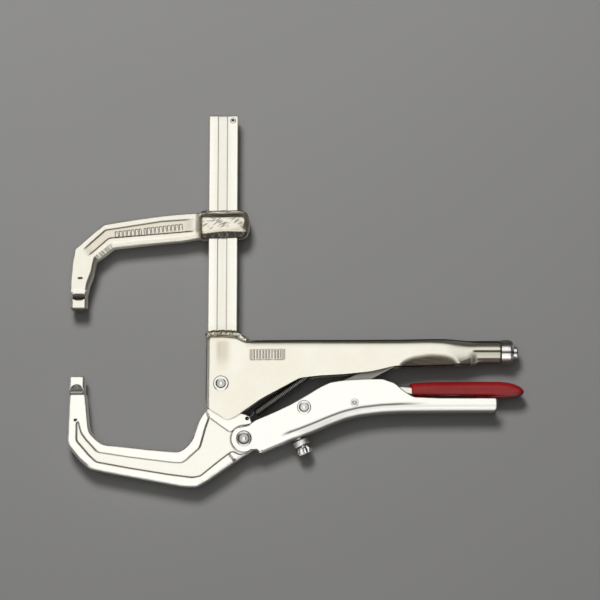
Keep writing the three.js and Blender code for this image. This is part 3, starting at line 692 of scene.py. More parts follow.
def arm_field(X, Y, Z):
    x, y = X[:, :, 0], Y[:, :, 0]
    az = np.sqrt(Z * Z + 0.04)
    dO = poly_sdf(x, y, soften(ARM, 1.3))
    dP = arm_web(x, y)
    dS = poly_sdf(x, y, soften(SLEEVE, 3.0))
    dF = poly_sdf(x, y, soften(SLEEVE_FACE, 1.6))
    hz = 6.6 - 1.45 * step01(-dP / 0.9) * panel_ends(x, y) + 0.06 * waves(x, y, 0, 14, 3) + 0.03 * waves(x, y, 0, 4, 13)
    hz = hz + 0.42 * bars(x, y)
    flare = 0.9 * step01((x - -70.98) / 4.0)
    hz = hz + flare
    draft = 0.08 + 0.16 * step01((y - 26.2) / 6) * step01((-86.38 - x) / 35)
    f = smax(dO[:, :, None] + draft[:, :, None] * (az - 4.0), az - hz[:, :, None], 0.9)
    # trimmed edge along the near and inner sides, coarsely ground
    dT = poly_sdf(x + 1.5, y - 2.9, soften(ARM, 1.3)) + 0.12 * waves(x * 1.2 + y * 1.2, x * 0.2, 0, 1.6, 71)
    f = smax(f, 0.72 * (0.95 * dT[:, :, None] + (az - hz[:, :, None])), 0.5)
    # hammered sleeve: a long flat face, a broad slope up to the far side, steep near side
    far = step01((y - 53.81) / 3.0)
    slope = 0.86 + (1.12 - 0.86) * far
    hs = np.maximum(10.5 - slope * np.maximum(dF, 0), 6.9) - 0.25 * step01((y - 56.64) / 2.5)
    strokes = waves(x * 0.30, y * 1.25 - x * 0.26, 0, 2.3, 8) * 0.24 + waves(x * 0.5, y, 0, 5.5, 18) * 0.22 + waves(x, y, 0, 1.9, 28) * 0.06
    hs = np.minimum(hs + strokes * step01((1.5 - dF) / 2.5 + 0.35), 10.48)
    fs = smax(dS[:, :, None] + 0.04 * az + 0.14 * waves(X, Y, Z, 5, 4), 0.75 * (az - hs[:, :, None]), 1.3)
    f = smin(f, fs, 1.3)
    # turned end, joined through a shoulder
    f = smin(f, nub(X, Y, Z, NUB_X, ARM_TIP, 7.79, wide=5.85, round_end=2.6), 0.5)
    # sloped pocket where the end meets the bar
    dD = poly_sdf(x, y, soften(ARM_POCKET, 2.2))
    floor_z = 6.6 - 3.6 * np.clip((4.04 - y) / 3.6, 0, 1)
    f = smax(f, -smax(dD[:, :, None], floor_z[:, :, None] - az, 0.25), 0.25)
    # rail slot
    slot = np.maximum(
        np.maximum(RAIL_X[0] - 0.45 - X, X - RAIL_X[1] - 0.45), np.abs(Z) - RAIL_HALF - 0.45
    )
    f = smax(f, -slot, 0.4)
    # centre-punch mark, wider than it is tall
    m = ((X - -151.06) / 1.9) ** 2 + ((Y - 15.08) / 0.8) ** 2 + ((az - 6.7) / 1.0) ** 2
    f = smax(f, 0.7 * (1 - np.sqrt(m)), 0.2)
    return f + 0.02 * waves(X, Y, Z, 5, 11)


arm = field_piece("sliding_arm_forging", arm_field, (-158.83, ARM_TIP - 1, -11), (-31.36, 65.14, 11))
def sleeve_face(x, y):
    return poly_sdf(x, y, soften(SLEEVE_FACE, 1.6))


def sleeve_dark(x, y, z):
    """Painted shade and painted dark reflections on the slopes round the sleeve's flat face, with dark streaks across
    the face.
    """
    d = sleeve_face(x, y)
    on = step01((x - -67.13) / 1.2) * (np.abs(z) > 3)
    far = step01((y - 57.06) / 0.9) * (0.44 + 0.46 * waves(x * 0.30, y * 1.5 - x * 0.1, 0, 1.9, 61))
    rim = step01((y - 62.87) / 0.7) * 0.7
    low = step01((48.21 - y) / 0.6) * step01((d - 0.8) / 0.5) * (0.86 + 0.15 * waves(x, y, 0, 3, 62) + 0.12)
    end = step01((x - -35.84) / 1.2) * (0.48 + 0.52 * waves(x * 1.6, y * 0.9 + x, 0, 2.0, 63))
    streak = step01((waves(x * 0.45 - y * 0.30, y * 1.35 - x * 0.50, 0, 1.25, 64) - 0.02) / 0.6) * 0.58 * step01(-d / 0.7)
    streak = streak * (1 - np.exp(-(((d + 0.6) / 0.8) ** 2)) * (y < 50.98))
    left = 0.75 * np.exp(-(((x - -66.08) / 0.8) ** 2))
    return on * np.clip(np.maximum.reduce([far, rim, low, end, streak, left]), 0, 1.0)


# painted shade in the tip's pocket, along the panel's edge, in the punch mark, on the tip's end face and in the valley
# at the sleeve; a painted shadow beside the raised bars
paint(arm, "dark", lambda x, y, z: np.maximum.reduce([
    0.95 * step01(-poly_sdf(x, y, soften(ARM_POCKET, 2.2)) / 0.5 + 0.5) * (z * z > 4),
    0.80 * np.exp(-(((arm_web(x, y) + 0.50) / 0.50) ** 2)) * (np.abs(z) > 4) * panel_ends(x, y),
    0.88 * step01((-5.24 - y) / 1.0) * (x < -140.28),
    0.9 * (np.hypot((x - -151.06) / 1.9, (y - 15.08) / 0.8) < 0.9) * (np.abs(z) > 4),
    0.22 * step01(-arm_web(x, y) / 0.8) * bars(x + 0.35, y - 0.35) * (1 - bars(x, y)) * (np.abs(z) > 4) * 2.4,
    sleeve_dark(x, y, z),
    0.25 * np.exp(-(((x - -67.9) / 1.0) ** 2)) * (np.abs(z) > 5),
]))
paint(arm, "tint", lambda x, y, z: np.maximum(
    0.38 * step01(-arm_web(x, y) / 1.0) * (1 - 0.75 * bars(x, y)) * panel_ends(x, y),
    0.50 * step01((x - -71.33) / 2.5) * (1 - 0.8 * step01(-sleeve_face(x, y) / 0.8))) * (np.abs(z) > 3))
dress(arm, "arm", "forged", "sliding_arm")

# ------------------------------------------------------------------ lower jaw
JAW = [(-157.15, -66.2), (-157.64, -69.38), (-158.34, -98.41), (-157.5, -102.8), (-149.73, -112.15), (-142.52, -118.38), (-129.78, -121.21), (-101.78, -126.31), (-77.98, -130.7), (-68.18, -130.98), (-59.78, -126.02), (-45.78, -116.4), (-36.68, -110.02), (-31.78, -107.19), (-27.58, -103.72), (-25.48, -98.41), (-26.18, -91.33), (-29.68, -86.73), (-31.08, -82.48), (-34.23, -80.36), (-38.08, -79.3), (-40.88, -74.34), (-43.68, -65.84), (-44.03, -59.47), (-47.18, -53.81), (-51.73, -51.68), (-56.28, -53.81), (-59.22, -59.47), (-59.5, -67.97), (-59.92, -74.34), (-64.96, -81.07), (-67.06, -84.25), (-69.37, -90.62), (-71.4, -97.28), (-73.08, -99.97), (-76.93, -104.29), (-81.13, -106.48), (-101.78, -104.78), (-115.78, -103.16), (-132.58, -101.53), (-136.43, -99.26), (-141.75, -94.16), (-143.08, -90.62), (-143.78, -84.61), (-145.18, -71.51), (-145.67, -66.2)]
JAW_PANEL = [(-152.25, -86.38), (-152.18, -99.26), (-142.73, -110.02), (-137.97, -114.27), (-115.78, -118.38), (-87.78, -122.91), (-70.98, -125.03), (-65.38, -123.9), (-52.78, -113.7), (-43.68, -106.77), (-38.78, -109.39), (-34.58, -108.32), (-23.38, -106.2), (-23.38, -85.67), (-38.78, -88.5), (-45.08, -92.75), (-52.78, -87.37), (-60.06, -81.99), (-62.93, -89.92), (-66.57, -103.51), (-76.23, -112.29), (-79.03, -113.85), (-84.98, -113.56), (-115.78, -109.74), (-136.78, -106.48), (-144.83, -97.99), (-148.26, -93.1), (-150.5, -84.96)]
JAW_LUG = [(-62.58, -77.17), (-59.08, -84.96), (-45.08, -94.52), (-46.48, -108.32), (-36.68, -118.24), (-7.28, -128.15), (-7.28, -43.19), (-64.68, -43.19)]
JAW_TIP = -54.3
JAW_POCKET = [(-157.08, -67.4), (-157.36, -64.43), (-156.24, -61.95), (-154.28, -60.18), (-151.83, -59.61), (-149.73, -60.6), (-148.12, -62.87), (-147.35, -65.28), (-147.28, -67.26)]
JAW_NUB_X = -152.32


def jaw_field(X, Y, Z):
    x, y = X[:, :, 0], Y[:, :, 0]
    az = np.sqrt(Z * Z + 0.04)
    dO = poly_sdf(x, y, soften(JAW, 2.4))
    dP = poly_sdf(x, y, soften(JAW_PANEL, 1.6))
    dL = poly_sdf(x, y, soften(JAW_LUG, 3.0))
    hz = 6.4 - (6.4 - 5.0) * step01(0.5 - dL / 2.2)
    web = 4.15 + 0.05 * waves(x, y, 0, 16, 5)
    hz = hz + (web - hz) * step01(-dP / 0.95)
    near_b = np.hypot(x - PIVOT_B[0], y - PIVOT_B[1])
    hz = np.where(near_b < 13, hz + (5.0 - hz) * step01((8.9 - near_b) / 0.7 + 0.5), hz)
    f = smax(dO[:, :, None] + 0.11 * (az - 3.6), az - hz[:, :, None], 1.5)
    dT = poly_sdf(x, y - 1.9, soften(JAW, 2.4)) + 0.08 * waves(x * 0.3, y * 1.4, 0, 1.7, 72)
    f = smax(f, 0.75 * (0.9 * dT[:, :, None] + (az - hz[:, :, None])), 0.5)
    f = smin(f, nub(X, Y, Z, JAW_NUB_X, -70.09, JAW_TIP), 0.5)
    dD = poly_sdf(x, y, soften(JAW_POCKET, 1.6))
    floor_z = 6.4 - 3.7 * np.clip((y - -66.98) / 6.6, 0, 1)
    f = smax(f, -smax(dD[:, :, None], floor_z[:, :, None] - az, 0.25), 0.3)
    for (px, py), r in ((PIVOT_A, 3.9), (PIVOT_B, 3.9), ((-33.46, -83.54), 1.2)):
        f = smax(f, r - np.hypot(X - px, Y - py), 0.3)
    m = ((X - -152.6) / 1.05) ** 2 + ((Y - -84.68) / 0.95) ** 2 + ((az - 6.5) / 1.3) ** 2
    f = smax(f, 0.8 * (1 - np.sqrt(m)), 0.2)
    return f + 0.02 * waves(X, Y, Z, 5, 12)


jaw = field_piece("lower_jaw_forging", jaw_field, (-160.02, -133.25, -7), (-24.43, JAW_TIP + 1, 7))



def jaw_groove(x, y):
    """Distance inside the jaw's panel."""
    return poly_sdf(x, y, soften(JAW_PANEL, 1.6))


# painted shade in the tip's pocket and along its rim, in the groove round the panel, in the punch mark and in the
# crease round the handle pivot's boss
paint(jaw, "dark", lambda x, y, z: np.maximum.reduce([
    (0.58 + 0.16 * waves(x, y, 0, 1.6, 81)) * step01(-poly_sdf(x, y, soften(JAW_POCKET, 1.6)) / 0.5 + 0.5) * (z * z > 4),
    0.8 * np.exp(-(((poly_sdf(x, y, soften(JAW_POCKET, 1.6)) + 0.3) / 0.35) ** 2)) * (y > -64.43) * (z * z > 4),
    0.62 * np.exp(-(((jaw_groove(x, y) + 0.55) / 0.42) ** 2)) * (np.abs(z) > 3),
    0.9 * (np.hypot(x - -152.6, y - -84.68) < 0.95) * (np.abs(z) > 4),
    0.7 * np.exp(-(((np.hypot(x - PIVOT_B[0], y - PIVOT_B[1]) - 9.4) / 0.5) ** 2)) * (np.abs(z) > 3),
]))
paint(jaw, "tint", lambda x, y, z: 0.13 * step01(-jaw_groove(x, y) / 1.0) * (np.abs(z) > 3))
dress(jaw, "jaw", "forged_jaw", "lower_jaw")

# ------------------------------------------------------------------ upper handle
SHEET = 2.2
TUBE_Y = -36.67
TUBE_R, TUBE_BORE = 8.0, 6.0
BODY_TOP = [(-62.44, -27.26), (-60.48, -25.42), (-57.68, -24.92), (-41.58, -25.35), (-38.78, -26.62), (-35.28, -28.6), (-30.38, -28.89), (3.22, -28.74), (38.22, -28.67), (73.22, -28.53), (94.22, -27.97), (108.22, -27.82), (116.62, -28.32), (125.02, -29.31), (127.82, -29.52)]
BODY_BLANK = BODY_TOP + [(157.22, -29.52), (157.22, -85.67), (-62.44, -121.07)]
BODY_LOW = [(127.82, -44.04), (116.62, -45.6), (104.72, -46.37), (87.22, -46.87), (69.72, -47.44), (52.92, -51.33), (34.72, -53.24), (17.22, -54.23), (3.22, -55.93), (-10.08, -63.01), (-23.38, -70.09), (-30.38, -74.91), (-36.68, -79.15), (-41.58, -82.84), (-46.48, -84.68), (-49.63, -83.97), (-52.78, -81.99), (-57.68, -78.87), (-61.88, -76.46), (-64.68, -75.05)]
BODY_KEEP = [(157.22, -21.95), (157.22, -47.44), (133.42, -47.44), (129.92, -46.02)] + BODY_LOW[1:] + [(-66.78, -75.05), (-66.78, -21.95)]
ARCH = [(70.42, -48.85), (72.52, -44.96), (76.02, -42.13), (81.62, -39.79), (94.22, -37.95), (104.02, -38.52), (109.62, -40.07), (113.12, -42.48), (115.92, -47.44), (115.92, -57.35), (70.42, -57.35)]


def body_width(x):
    """Half width of the upper handle along its length."""
    px = np.linspace(-62.58, 143.22, 60)
    at = np.array([-62.58, -38.78, -21.28, -2.38, 87.22, 101.22, 113.82, 124.32, 143.22])
    w = np.interp(px, at, np.array([7.75, 7.85, 9.6, 10.45, 10.45, 10.0, 9.35, 8.7, 8.0]))
    w = np.convolve(np.pad(w, 2, "edge"), [0.1, 0.22, 0.36, 0.22, 0.1], "valid")
    return np.interp(x, px, w)


def relief_at(x, y):
    """Depth pressed in under the arch at the rear."""
    d = np.maximum(-poly_sdf(x, y, soften(ARCH, 3.0)), 0)
    return 0.62 * d * d / (d + 2.2)


def frame_mark(x, y):
    """Stamped frame with plain upright ribs: 0 outside, up to 1 at its bottom."""
    fx = (x - -19.53) / (18.0 * 0.7)
    fy = (y - -39.29) / (5.6 * 0.708)
    d = np.maximum(np.abs(fx), np.abs(fy))
    rib = 0.5 + 0.5 * np.cos((x - -19.53) * 2 * math.pi / 2.1)
    rib = step01((rib - 0.25) / 0.5)
    return step01((1.0 - d) / 0.06) * (1 - step01((0.84 - d) / 0.05) * rib)


def flute(x, y):
    return np.exp(-(((x - -50.47) / 3.9) ** 2)) * step01((y - -53.1) / 15) * step01((-27.26 - y) / 4)


def body_field(X, Y, Z):
    x, y = X[:, :, 0], Y[:, :, 0]
    az = np.sqrt(Z * Z + 0.02)
    dB = poly_sdf(x, y, soften(BODY_BLANK, 3.0))
    dK = poly_sdf(x, y, soften(BODY_KEEP, 2.0))
    w = body_width(x)
    w = w - 0.85 * flute(x, y)
    # soft swell round the rail
    w = w + 0.25 * np.exp(-(((x - -57.33) / 4.0) ** 2)) * step01((y - -55.93) / 10)
    w = w - relief_at(x, y)
    # stamped frame pressed into both cheeks
    w = w - 0.30 * frame_mark(x, y)
    w = w + 0.035 * waves(x, y, 0, 22, 21)
    W = w[:, :, None]
    R = np.interp(x, [-62.58, -35.28, 3.22, 94.22, 122.22], [3.4, 3.9, 4.4, 5.0, 7.7])[:, :, None]
    dB3 = dB[:, :, None]
    out = rmax(dB3, 0.96 * (az - W), R)
    inn = rmax(dB3 + SHEET, 0.96 * (az - W + SHEET), R - SHEET)
    # the rear is drawn into a tube
    r = np.hypot(Y - TUBE_Y, Z)
    t = step01((X - 102.62) / (133.42 - 102.62))
    out = (1 - t) * out + t * (r - TUBE_R)
    inn = (1 - t) * inn + t * (r - TUBE_BORE)
    f = smax(out, -inn, 0.3)
    f = smax(f, dK[:, :, None], 0.9)
    f = smax(f, X - 143.29, 0.7)
    # notch where the open underside meets the tube
    q = np.sqrt(((X - 125.02) / 3.2) ** 2 + ((Y - -43.9) / 4.4) ** 2)
    f = f + 0.5 * np.exp(-(q**2)) * step01((az - 3.0) / 2.0)
    bore = np.maximum(r - TUBE_BORE, 113.82 - X)
    f = smax(f, -bore, 0.4)
    # mouth for the rail, and the open front for the jaw
    mouth = np.maximum(
        np.maximum(RAIL_X[0] - 0.3 - X, X - RAIL_X[1] - 0.3),
        np.maximum(np.abs(Z) - RAIL_HALF - 0.3, -51.68 - Y),
    )
    f = np.maximum(f, -mouth)
    throat = np.maximum(np.maximum(X - -58.38, Y - -70.8), np.abs(Z) - 5.7)
    f = smax(f, -throat, 0.4)
    f = smax(f, 3.9 - np.hypot(X - PIVOT_A[0], Y - PIVOT_A[1]), 0.3)
    return f


body = field_piece("upper_handle_pressing", body_field, (-63.28, -85.67, -11), (143.78, -24.21, 11))
TOP_LINE = soften(BODY_BLANK, 3.0)


def under_top(x, y):
    """How far a point lies below the upper handle's spine."""
    return -poly_sdf(x, y, TOP_LINE)


def arch_in(x, y):
    return np.maximum(-poly_sdf(x, y, soften(ARCH, 3.0)), 0)


# straw heat tint by the weld; painted shade in the flute, the stamped frame, below the spine's rounding, towards the
# tube and in the arch relief
paint(body, "tint", lambda x, y, z: np.maximum.reduce([
    0.70 * flute(x, y) * (np.abs(z) > 4),
    0.55 * step01((y - -30.09) / 3.2) * step01((-36.68 - x) / 4),
    0.35 * frame_mark(x, y) * (np.abs(z) > 6),
    0.45 * step01((7.0 - under_top(x, y)) / 4.5) * (x > -34.58) * (np.abs(z) > 3),
    0.12 * step01((x - 109.62) / 8) * (np.abs(z) > 2),
    0.9 * step01(arch_in(x, y) / 2.5) * (np.abs(z) > 3)]))
# painted dark reflections along the spine's rounding, in the arch relief and on the tube's lower half; painted shade in
# the stamped frame, at the front fold, in the swage dimple and inside the channel; the line along the tube is a seam
# drawn darker as a painted reflection
paint(body, "dark", lambda x, y, z: np.maximum.reduce([
    step01(arch_in(x, y) / 3.6) * (np.abs(z) > 3) * (0.97 + 0.12 * waves(x, y, 0, 1.1, 91)),
    0.40 * frame_mark(x, y) * (np.abs(z) > 6),
    np.maximum(0.96 * step01((2.3 - under_top(x, y)) / 1.1), 0.30 * step01((5.2 - under_top(x, y)) / 3.6) * (1 - step01((x - 111.72) / 20)))
    * step01((x - -33.18) / 6),
    0.40 * step01((1.2 - (x - -62.44)) / 0.9) * (np.abs(z) > 3),
    0.88 * np.exp(-(((x - 124.6) / 3.1) ** 2) - ((y - -42.76) / 5.4) ** 2) * (np.abs(z) > 1) * step01((-36.53 - y) / 1.6),
    np.minimum(1.5 * np.exp(-(((y - -37.03) / 0.82) ** 2)), 1.0) * step01((x - 122.22) / 3) * (np.abs(z) > 5),
    0.34 * step01((-37.1 - y) / 0.6) * step01((x - 124.32) / 2),
    0.92 * step01((-40.92 - y) / 0.9) * step01((x - 125.02) / 2.5) * (1 - 0.45 * np.exp(-(((y - -43.47) / 0.45) ** 2))),
    0.85 * (np.abs(z) < body_width(x) - SHEET * 0.8) * (x < 122.22) * step01((-29.74 - SHEET - y) / 1.5)]))
dress(body, "upper_handle", "sheet", "upper_handle_shell")

# ------------------------------------------------------------------ weld round the rail's root
RUN = [(-60.48, -24.5), (-56.98, -23.79), (-49.98, -23.51), (-42.98, -23.93), (-38.78, -25.42), (-35.28, -28.04), (-32.48, -30.16)]


def weld_field(X, Y, Z):
    """A lumpy fillet along the top edge of both cheeks, closed behind the rail."""
    az = np.abs(Z)
    pts = np.array(RUN)
    f = None
    run = 0.0
    rip = 0.30 * waves(X, Y, Z, 2.6, 31) + 0.18 * waves(X, Y, Z, 1.5, 32)
    for k, (a, b) in enumerate(zip(pts, pts[1:])):
        d = b - a
        L = np.hypot(*d)
        t = np.clip(((X - a[0]) * d[0] + (Y - a[1]) * d[1]) / L**2, 0, 1)
        s_len = run + t * L
        zc = 5.9 - 0.9 * np.clip((s_len - 22) / 6, 0, 1)
        rad = 1.75 + 0.22 * np.sin(s_len * 2 * math.pi / 1.7) * np.clip(az - 4, 0, 1)
        cap = np.sqrt((X - a[0] - t * d[0]) ** 2 + (Y - a[1] - t * d[1]) ** 2 + (az - zc) ** 2) - rad
        f = cap if f is None else np.minimum(f, cap)
        run += L
    # the run crosses the front and the back of the rail
    for x0 in (RAIL_X[0] - 0.55, RAIL_X[1] + 1.1):
        side = np.sqrt((X - x0) ** 2 + (Y - -25.06) ** 2 + np.maximum(az - 5.6, 0) ** 2) - 1.5
        f = smin(f, side, 0.8)
    f = f + rip
    slot = np.maximum(np.maximum(RAIL_X[0] - 0.06 - X, X - RAIL_X[1] - 0.06), az - RAIL_HALF - 0.06)
    f = smax(f, -slot, 0.15)
    return np.maximum(f, -63.07 - X)


weld = field_piece("rail_weld", weld_field, (-63.63, -33.28, -9), (-31.08, -20.89, 9), h=FINE * 0.85)
# dark scorch patches on the bead, and a painted dark reflection along its top
paint(weld, "dark", lambda x, y, z: np.maximum(
    0.85 * step01((waves(x * 0.8, y * 1.3, z, 2.4, 77) - 0.15) / 0.5), 0.75 * step01((y - -24) / 0.6)))
paint(weld, "tint", lambda x, y, z: 0.25 + 0.35 * waves(x, y, z, 4.0, 78))
dress(weld, "upper_handle", "weld", "rail_weld_bead")

# ------------------------------------------------------------------ lower handle
HANDLE_TOP = [(-32.83, -88.92), (-28.28, -85.24), (-13.58, -78.94), (-3.78, -74.34), (3.22, -70.45), (10.22, -66.2), (17.22, -61.95), (24.22, -58.69), (34.72, -57.06), (48.72, -56.36), (60.62, -56.22), (69.02, -59.12), (76.02, -65.14), (82.32, -68.89), (101.22, -69.6), (139.37, -69.6)]
HANDLE_SPINE = [(157.22, -79.3), (101.22, -79.44), (73.22, -79.72), (59.22, -80.43), (45.22, -82.13), (34.72, -84.68), (24.22, -88.64), (17.22, -91.62), (8.82, -95.01), (3.22, -97.14), (-0.98, -98.55), (-10.78, -102.38), (-22.68, -107.47)]
HANDLE_BLANK = [(-49.28, -71.51), (-13.58, -57.35), (24.22, -43.19), (73.22, -43.19), (157.22, -57.35)] + HANDLE_SPINE + [(-49.28, -119.65)]


def ring(c, r, a0, a1, n=14):
    return [(c[0] + r * math.cos(a), c[1] + r * math.sin(a)) for a in np.linspace(a0 * math.pi, a1 * math.pi, n)]


HANDLE = HANDLE_TOP + [(139.93, -70.8), (139.93, -76.18), (138.6, -78.87), (134.12, -85.67), (73.22, -86.02), (59.22, -86.73), (45.22, -88.5), (34.72, -90.98), (24.22, -94.87), (17.22, -97.85), (8.82, -101.24), (3.22, -103.37), (-0.98, -104.78), (-10.78, -108.68), (-23.38, -113.63), (-25.83, -104.93), (-31.08, -105.21)] + ring(PIVOT_B, 9.2, 1.72, 0.7)


FOOT_XY = (1.82, -95.58)


def handle_field(X, Y, Z):
    x, y = X[:, :, 0], Y[:, :, 0]
    az = np.sqrt(Z * Z + 0.02)
    dB = poly_sdf(x, y, soften(HANDLE_BLANK, 3.0))
    dK = poly_sdf(x, y, soften(HANDLE, 1.6))
    w = np.interp(x, [-47.18, -21.98, -2.38, 143.22], [7.6, 7.6, 8.6, 8.6])
    w = w + 0.03 * waves(x, y, 0, 24, 22)
    W = w[:, :, None]
    out = rmax(dB[:, :, None], az - W, 5.6)
    # the pressed step that runs along the spine, 5.8 in from its outline
    fade = step01((95.62 - x) / 22) * step01((x - -10.08) / 8) * (y < -68.68)
    out = out + 0.30 * (np.exp(-(((dB + 5.8) / 0.75) ** 2)) * fade)[:, :, None] * step01((az - 5.5) / 1.5)
    inn = rmax(dB[:, :, None] + SHEET, az - W + SHEET, 3.4)
    f = smax(out, -inn, 0.3)
    f = smax(f, dK[:, :, None], 0.8)
    nose = np.maximum(X - -22.96, az - W + SHEET)
    f = smax(f, -nose, 0.5)
    for (px, py), r in ((PIVOT_B, 3.9), (PIVOT_C, 3.3), (PIVOT_E, 2.0)):
        f = smax(f, r - np.hypot(X - px, Y - py), 0.3)
    sx, sy = FOOT_XY
    dx, dy = 0.426, -0.905
    h = (X - sx) * dx + (Y - sy) * dy
    q = np.hypot((X - sx) * dy - (Y - sy) * dx, Z)
    f = smax(f, -np.maximum(q - 3.2, -12 - h), 0.3)
    return f


handle = field_piece("lower_handle_pressing", handle_field, (-45.78, -109.03, -9.5), (141.12, -55.58, 9.5))
SPINE_LINE = soften(HANDLE_BLANK, 3.0)


def crease(x, y):
    """Distance in from the spine's outline, only along the spine."""
    return -poly_sdf(x, y, SPINE_LINE)


# painted shade inside the channel and in the crease along the pressed step, and a painted dark reflection on the
# spine's outer rounding
paint(handle, "dark", lambda x, y, z: np.maximum.reduce([
    0.85 * (np.abs(z) < 6.0) * step01((crease(x, y) - SHEET) / 1.0),
    0.92 * np.exp(-(((crease(x, y) - 5.9) / 0.85) ** 2)) * (np.abs(z) > 5) * step01((x - -11.48) / 8) * (y < -68.68) * step01((95.62 - x) / 26),
    0.70 * step01((2.6 - crease(x, y)) / 2.0) * step01((x - -11.48) / 8) * (y < -70.09),
    0.16 * step01((5.6 - crease(x, y)) / 0.8) * step01((x - -3.78) / 12) * (y < -70.09),
]))
dress(handle, "lower_handle", "sheet_low", "lower_handle_shell")

# ------------------------------------------------------------------ rail
def rail_section():
    """Closed X-Z section: flat bar, softened corners, a shallow band rolled in both faces."""
    x0, x1 = RAIL_X
    b0, b1 = -54.6, -48.58
    top = [(x0 + 0.0, RAIL_HALF - 0.45)] + arc(x0 + 0.45, RAIL_HALF - 0.45, 0.45, 170, 95, 5) + [
        (x0 + 0.9, RAIL_HALF), (b0 - 0.55, RAIL_HALF), (b0 - 0.42, RAIL_HALF - 0.04), (b0 - 0.12, RAIL_HALF - 0.42),
        (b0 + 0.12, RAIL_HALF - 0.46), (b0 + 0.5, RAIL_HALF - 0.46), (b1 - 0.5, RAIL_HALF - 0.46), (b1 - 0.12, RAIL_HALF - 0.46), (b1 + 0.12, RAIL_HALF - 0.42),
        (b1 + 0.42, RAIL_HALF - 0.04), (b1 + 0.55, RAIL_HALF), (x1 - 0.9, RAIL_HALF)] + arc(
            x1 - 0.45, RAIL_HALF - 0.45, 0.45, 85, 10, 5) + [(x1, RAIL_HALF - 0.45)]
    return top + [(x, -z) for x, z in reversed(top)]


def rail_mesh():
    sec = np.array(rail_section())
    mid = np.array([(RAIL_X[0] + RAIL_X[1]) / 2, 0])
    y0, y1 = -49.56, 132.75
    stations = [(y0, 0.0)] + [(y, 0.0) for y in np.linspace(y0, y1 - 0.9, 40)[1:]] + [(y1 - 0.45, 0.12), (y1 - 0.12, 0.42), (y1, 0.9)]
    rows = []
    for y, inset in stations:
        d = sec - mid
        k = np.array([1 - inset / abs(d[:, 0]).max(), 1 - inset / abs(d[:, 1]).max()])
        p = mid + d * k
        rows.append(np.stack([p[:, 0], np.full(len(p), y), p[:, 1]], 1))
    n = len(sec)
    verts = np.concatenate(rows)
    faces = []
    for i in range(len(rows) - 1):
        for k in range(n):
            l = (k + 1) % n
            faces.append((i * n + k, (i + 1) * n + k, (i + 1) * n + l, i * n + l))
    faces.append(tuple(range(n)))
    faces.append(tuple((len(rows) - 1) * n + k for k in reversed(range(n))))
    ob = make_mesh("rail_bar", verts, faces)
    return ob


rail = rail_mesh()
# bore for the stop pin
px, py = (-44.45, 129)
cutter = turned("cutter", [(0, -9), (2.15, -9), (2.15, 9), (0, 9)], (px, py, 0), (0, 0, 1), 48)
mod = rail.modifiers.new("bore", "BOOLEAN")
mod.operation, mod.solver, mod.object = "DIFFERENCE", "EXACT", cutter
dg = bpy.context.evaluated_depsgraph_get()
new = bpy.data.meshes.new_from_object(rail.evaluated_get(dg))
rail.modifiers.clear()
rail.data = new
bpy.data.objects.remove(cutter)
shade_by_angle(rail, 40)
paint(rail, "tint", lambda x, y, z: 0.07 * step01((x - -54.74) / 0.3) * step01((-48.44 - x) / 0.3) + 0.35 * step01((-18.41 - y) / 6))
# painted shade along the sloped edges of the rolled band
paint(rail, "dark", lambda x, y, z: 0.30 * (np.exp(-(((x - -54.6) / 0.45) ** 2)) + np.exp(-(((x - -48.58) / 0.45) ** 2))) * (np.abs(z) > 4))
dress(rail, "upper_handle", "rail", "rail")

# rolled pin: hollow, with a lead at both ends and its seam
pin_r, pin_b, pin_h = 2.0, 0.95, 6.4
profile = [(pin_b, -pin_h + 0.3), (pin_b + 0.3, -pin_h), (pin_r - 0.5, -pin_h)] + arc(pin_r - 0.5, -pin_h + 0.5, 0.5, -90, 0, 5)[1:] + \
    [(pin_r, 0.0)] + arc(pin_r - 0.5, pin_h - 0.5, 0.5, 0, 90, 5) + [(pin_b + 0.3, pin_h), (pin_b, pin_h - 0.3), (pin_b, 0.0), (pin_b, -pin_h + 0.3)]


def seam(r, th, h):
    return r - 0.35 * np.exp(-((((th - 2.2 + math.pi) % (2 * math.pi)) - math.pi) / 0.10) ** 2) * (r > 1.5)


pin = turned("rolled_stop_pin", profile, (px, py, 0), (0, 0, 1), 72, seam)
shade_by_angle(pin, 50)
dress(pin, "upper_handle", "bright", "rail_stop_pin")

# ------------------------------------------------------------------ rivets
def rivet(name, c, half, head_r, head_h, shank_r, ring_at=0.56, groove=0.5):
    """Orbitally formed rivet: domed rim, a ring groove, and a small raised middle."""
    top = []
    top += [(shank_r, half), (head_r - 0.12, half), (head_r, half + 0.15)]
    top += arc(head_r - 0.55 * head_h, half + 0.42 * head_h, 0.55 * head_h, -5, 80, 7)
    top += [(head_r * (ring_at + 0.17), half + head_h * 0.99), (head_r * (ring_at + 0.04), half + head_h * 0.90),
            (head_r * ring_at, half + head_h * 0.66), (head_r * (ring_at - 0.09), half + head_h * 0.56),
            (head_r * 0.30, half + head_h * 0.60), (head_r * 0.24, half + head_h * 0.70),
            (head_r * 0.13, half + head_h * 0.78), (0, half + head_h * 0.80)]
    prof = [(r, -h) for r, h in reversed(top)] + top
    ob = turned(name, prof, (c[0], c[1], 0), (0, 0, 1), 72)
    shade_by_angle(ob, 60)
    mid = head_r * (ring_at - 0.14)
    # painted shade in the ring groove
    paint(ob, "dark", lambda x, y, z: groove * np.exp(-(((np.hypot(x - c[0], y - c[1]) - mid) / (0.20 * head_r)) ** 2)))
    return ob


